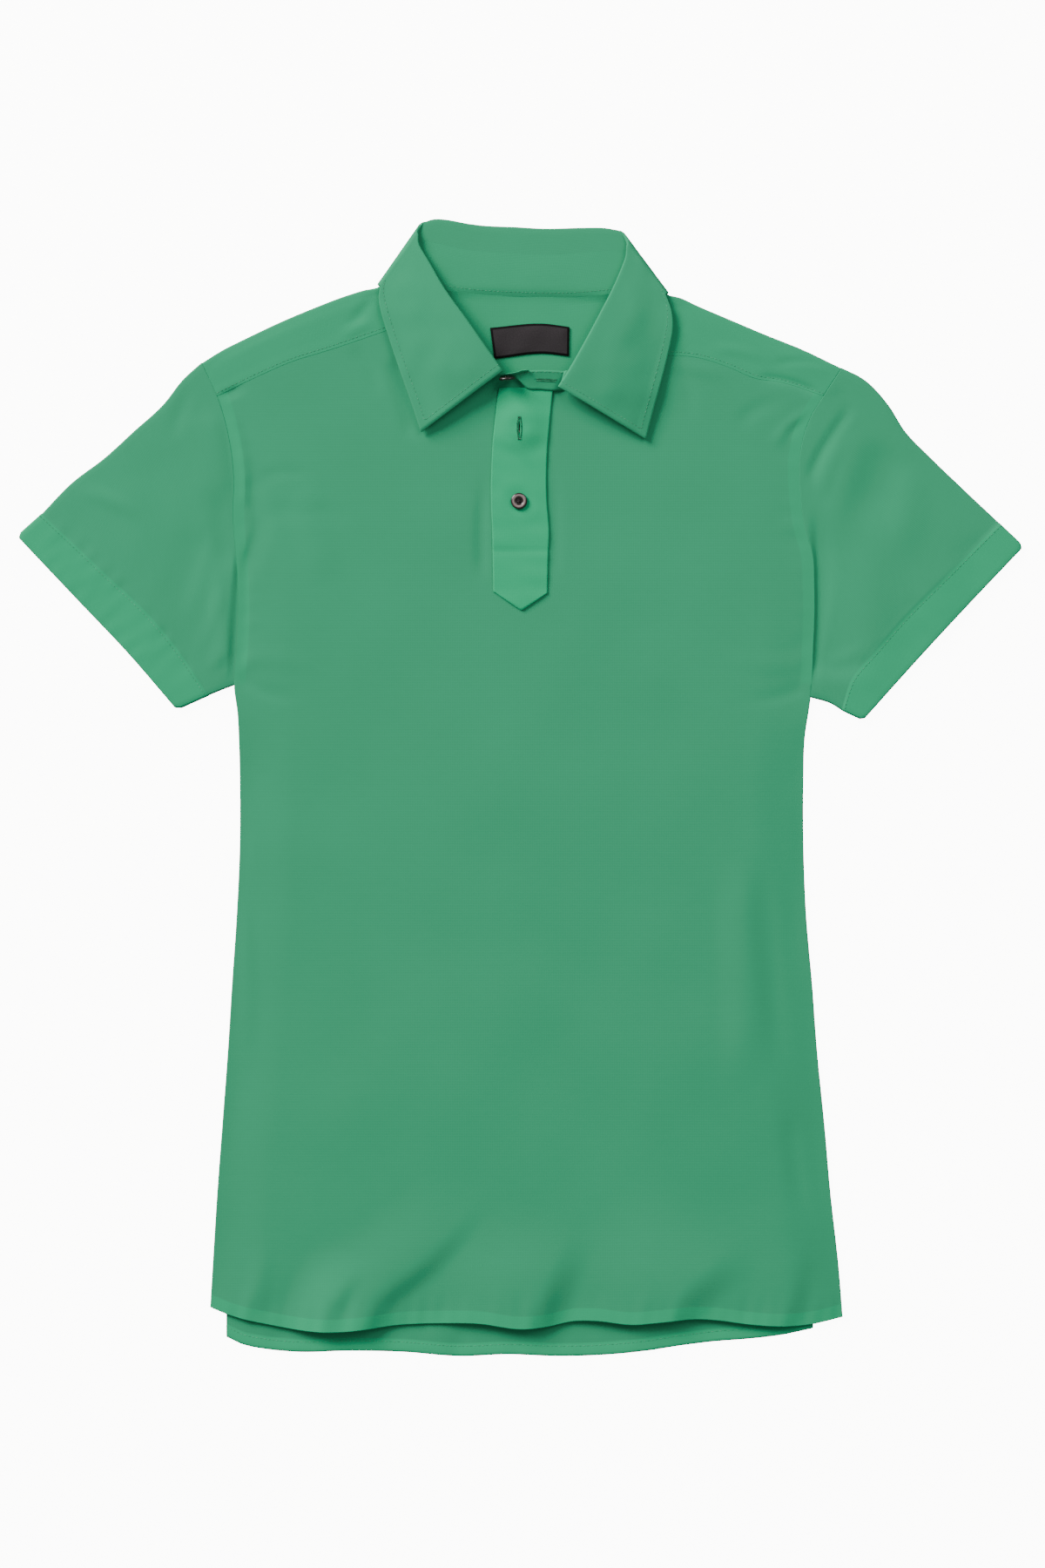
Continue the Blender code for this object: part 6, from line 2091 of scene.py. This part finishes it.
@dataclass(frozen=True)
class Studio:
    """Pale paper, soft light from the upper left, and a camera straight above."""

    height: float = 2.4
    centre: tuple[float, float] = (0.0016, 0.0026)
    frame_long: float = 1.170     # metres of the surface along the frame's long side
    sensor: float = 36.0
    floor_size: float = 60.0
    floor_level: float = -0.0002
    board_level: float = -0.0006
    sky: str = "#FFFFFF"
    sky_strength: float = 0.27
    lamps: tuple[Lamp, ...] = (
        Lamp("key_left", (-5.8, 5.4, 3.7), 4.0, 1350.0),
        Lamp("key_right", (2.4, 2.6, 3.0), 2.3, 70.0),
    )

    def plane(self, name: str, level: float, finish: Material) -> Object:
        """One square of the surface that the shirt lies on.

        Args:
            name: what to call it.
            level: its height in metres.
            finish: its material.

        Returns:
            The staged square.
        """
        half = self.floor_size / 2
        corners = ((-half, -half), (half, -half), (half, half), (-half, half))
        mesh = meshed(name, [(x, y, level) for x, y in corners], [(0, 1, 2, 3)])
        mesh.materials.append(finish)
        made = placed(name, mesh)
        return made

    def make(self) -> None:
        """Build the floor, the lights and the camera."""
        paper = self.plane("paper_floor", self.floor_level,
                           Paper("background_paper", roughness=0.9, specular=0.2).make())
        # the paper's own light stays off the cloth; the board below gives the soft light from underneath
        paper.visible_diffuse = False
        paper.visible_glossy = False
        self.plane("table_board", self.board_level,
                   Board("painted_board", roughness=0.9, specular=0.1).make())
        for lamp in self.lamps:
            lamp.make()
        world = bpy.data.worlds.new("studio")
        world.use_nodes = True
        wire(world.node_tree, world.node_tree.nodes["Background"],
             {"Color": linear(self.sky), "Strength": self.sky_strength})
        bpy.context.scene.world = world
        data = bpy.data.cameras.new("camera")
        data.sensor_width = self.sensor
        data.lens = self.sensor * self.height / self.frame_long
        data.clip_start = 0.05
        camera = placed("camera", data)
        camera.location = (*self.centre, self.height)
        bpy.context.scene.camera = camera


def main() -> None:
    """Build the shirt and the studio."""
    logging.basicConfig(level=logging.INFO, format="%(name)s: %(message)s")
    cloth = Jersey("cotton_jersey_green", roughness=0.95, specular=0.08, sheen=0.04).make()
    thread = Thread("polyester_thread_green", roughness=0.6, specular=0.35).make()
    dark = Thread("polyester_thread_dark", roughness=0.6, specular=0.35, light="#3A2E30",
                  dark="#171112").make()
    resin = ButtonResin("cast_resin_brown", roughness=0.32, specular=0.5, coat=0.3).make()

    back, front, yoke = BackPanel(), FrontPanel(), Yoke()
    for panel in (back, front, yoke):
        panel.make(cloth)
    for sleeve in SLEEVES:
        sleeve.make(cloth)
    collar, placket, label = Collar(), Placket(), NeckLabel()
    collar.make(cloth)
    placket.make(cloth)
    label.make(LabelWeave("woven_label_black", roughness=0.85, specular=0.12)
               .make(label.width, label.height))
    top = UPPER_LEVEL + CROWN
    buttons = (
        Button("button_second_piece", "button_second",
               (*BUTTON_SECOND, float(placket.level(*BUTTON_SECOND)) + CLOTH / 2 + 0.3)),
        Button("button_first_piece", "button_first", (*BUTTON_FIRST, top + CLOTH / 2)),
        Button("button_collar_piece", "button_collar", BUTTON_COLLAR, (98.0, 4.0)),
    )
    for button in buttons:
        button.make(resin)

    sewing = Sewing()
    seams = Stitching("seam_stitches")
    sewing.body(seams, front.sheet, back.sheet, yoke.sheet, yoke)
    sewing.sleeves(seams, SLEEVES)
    sewing.collar(seams, collar)
    sewing.placket(seams, placket)
    seams.make(thread, "jersey")
    dark_seams = Stitching("label_and_button_threads", pitch=2.2, length=1.7, thick=0.3, laid_thick=0.42)
    sewing.label(dark_seams, label)
    for button in buttons:
        dark_seams.laid += button.cross()
    dark_seams.make(dark, None)

    Studio().make()


if __name__ == "__main__":
    main()
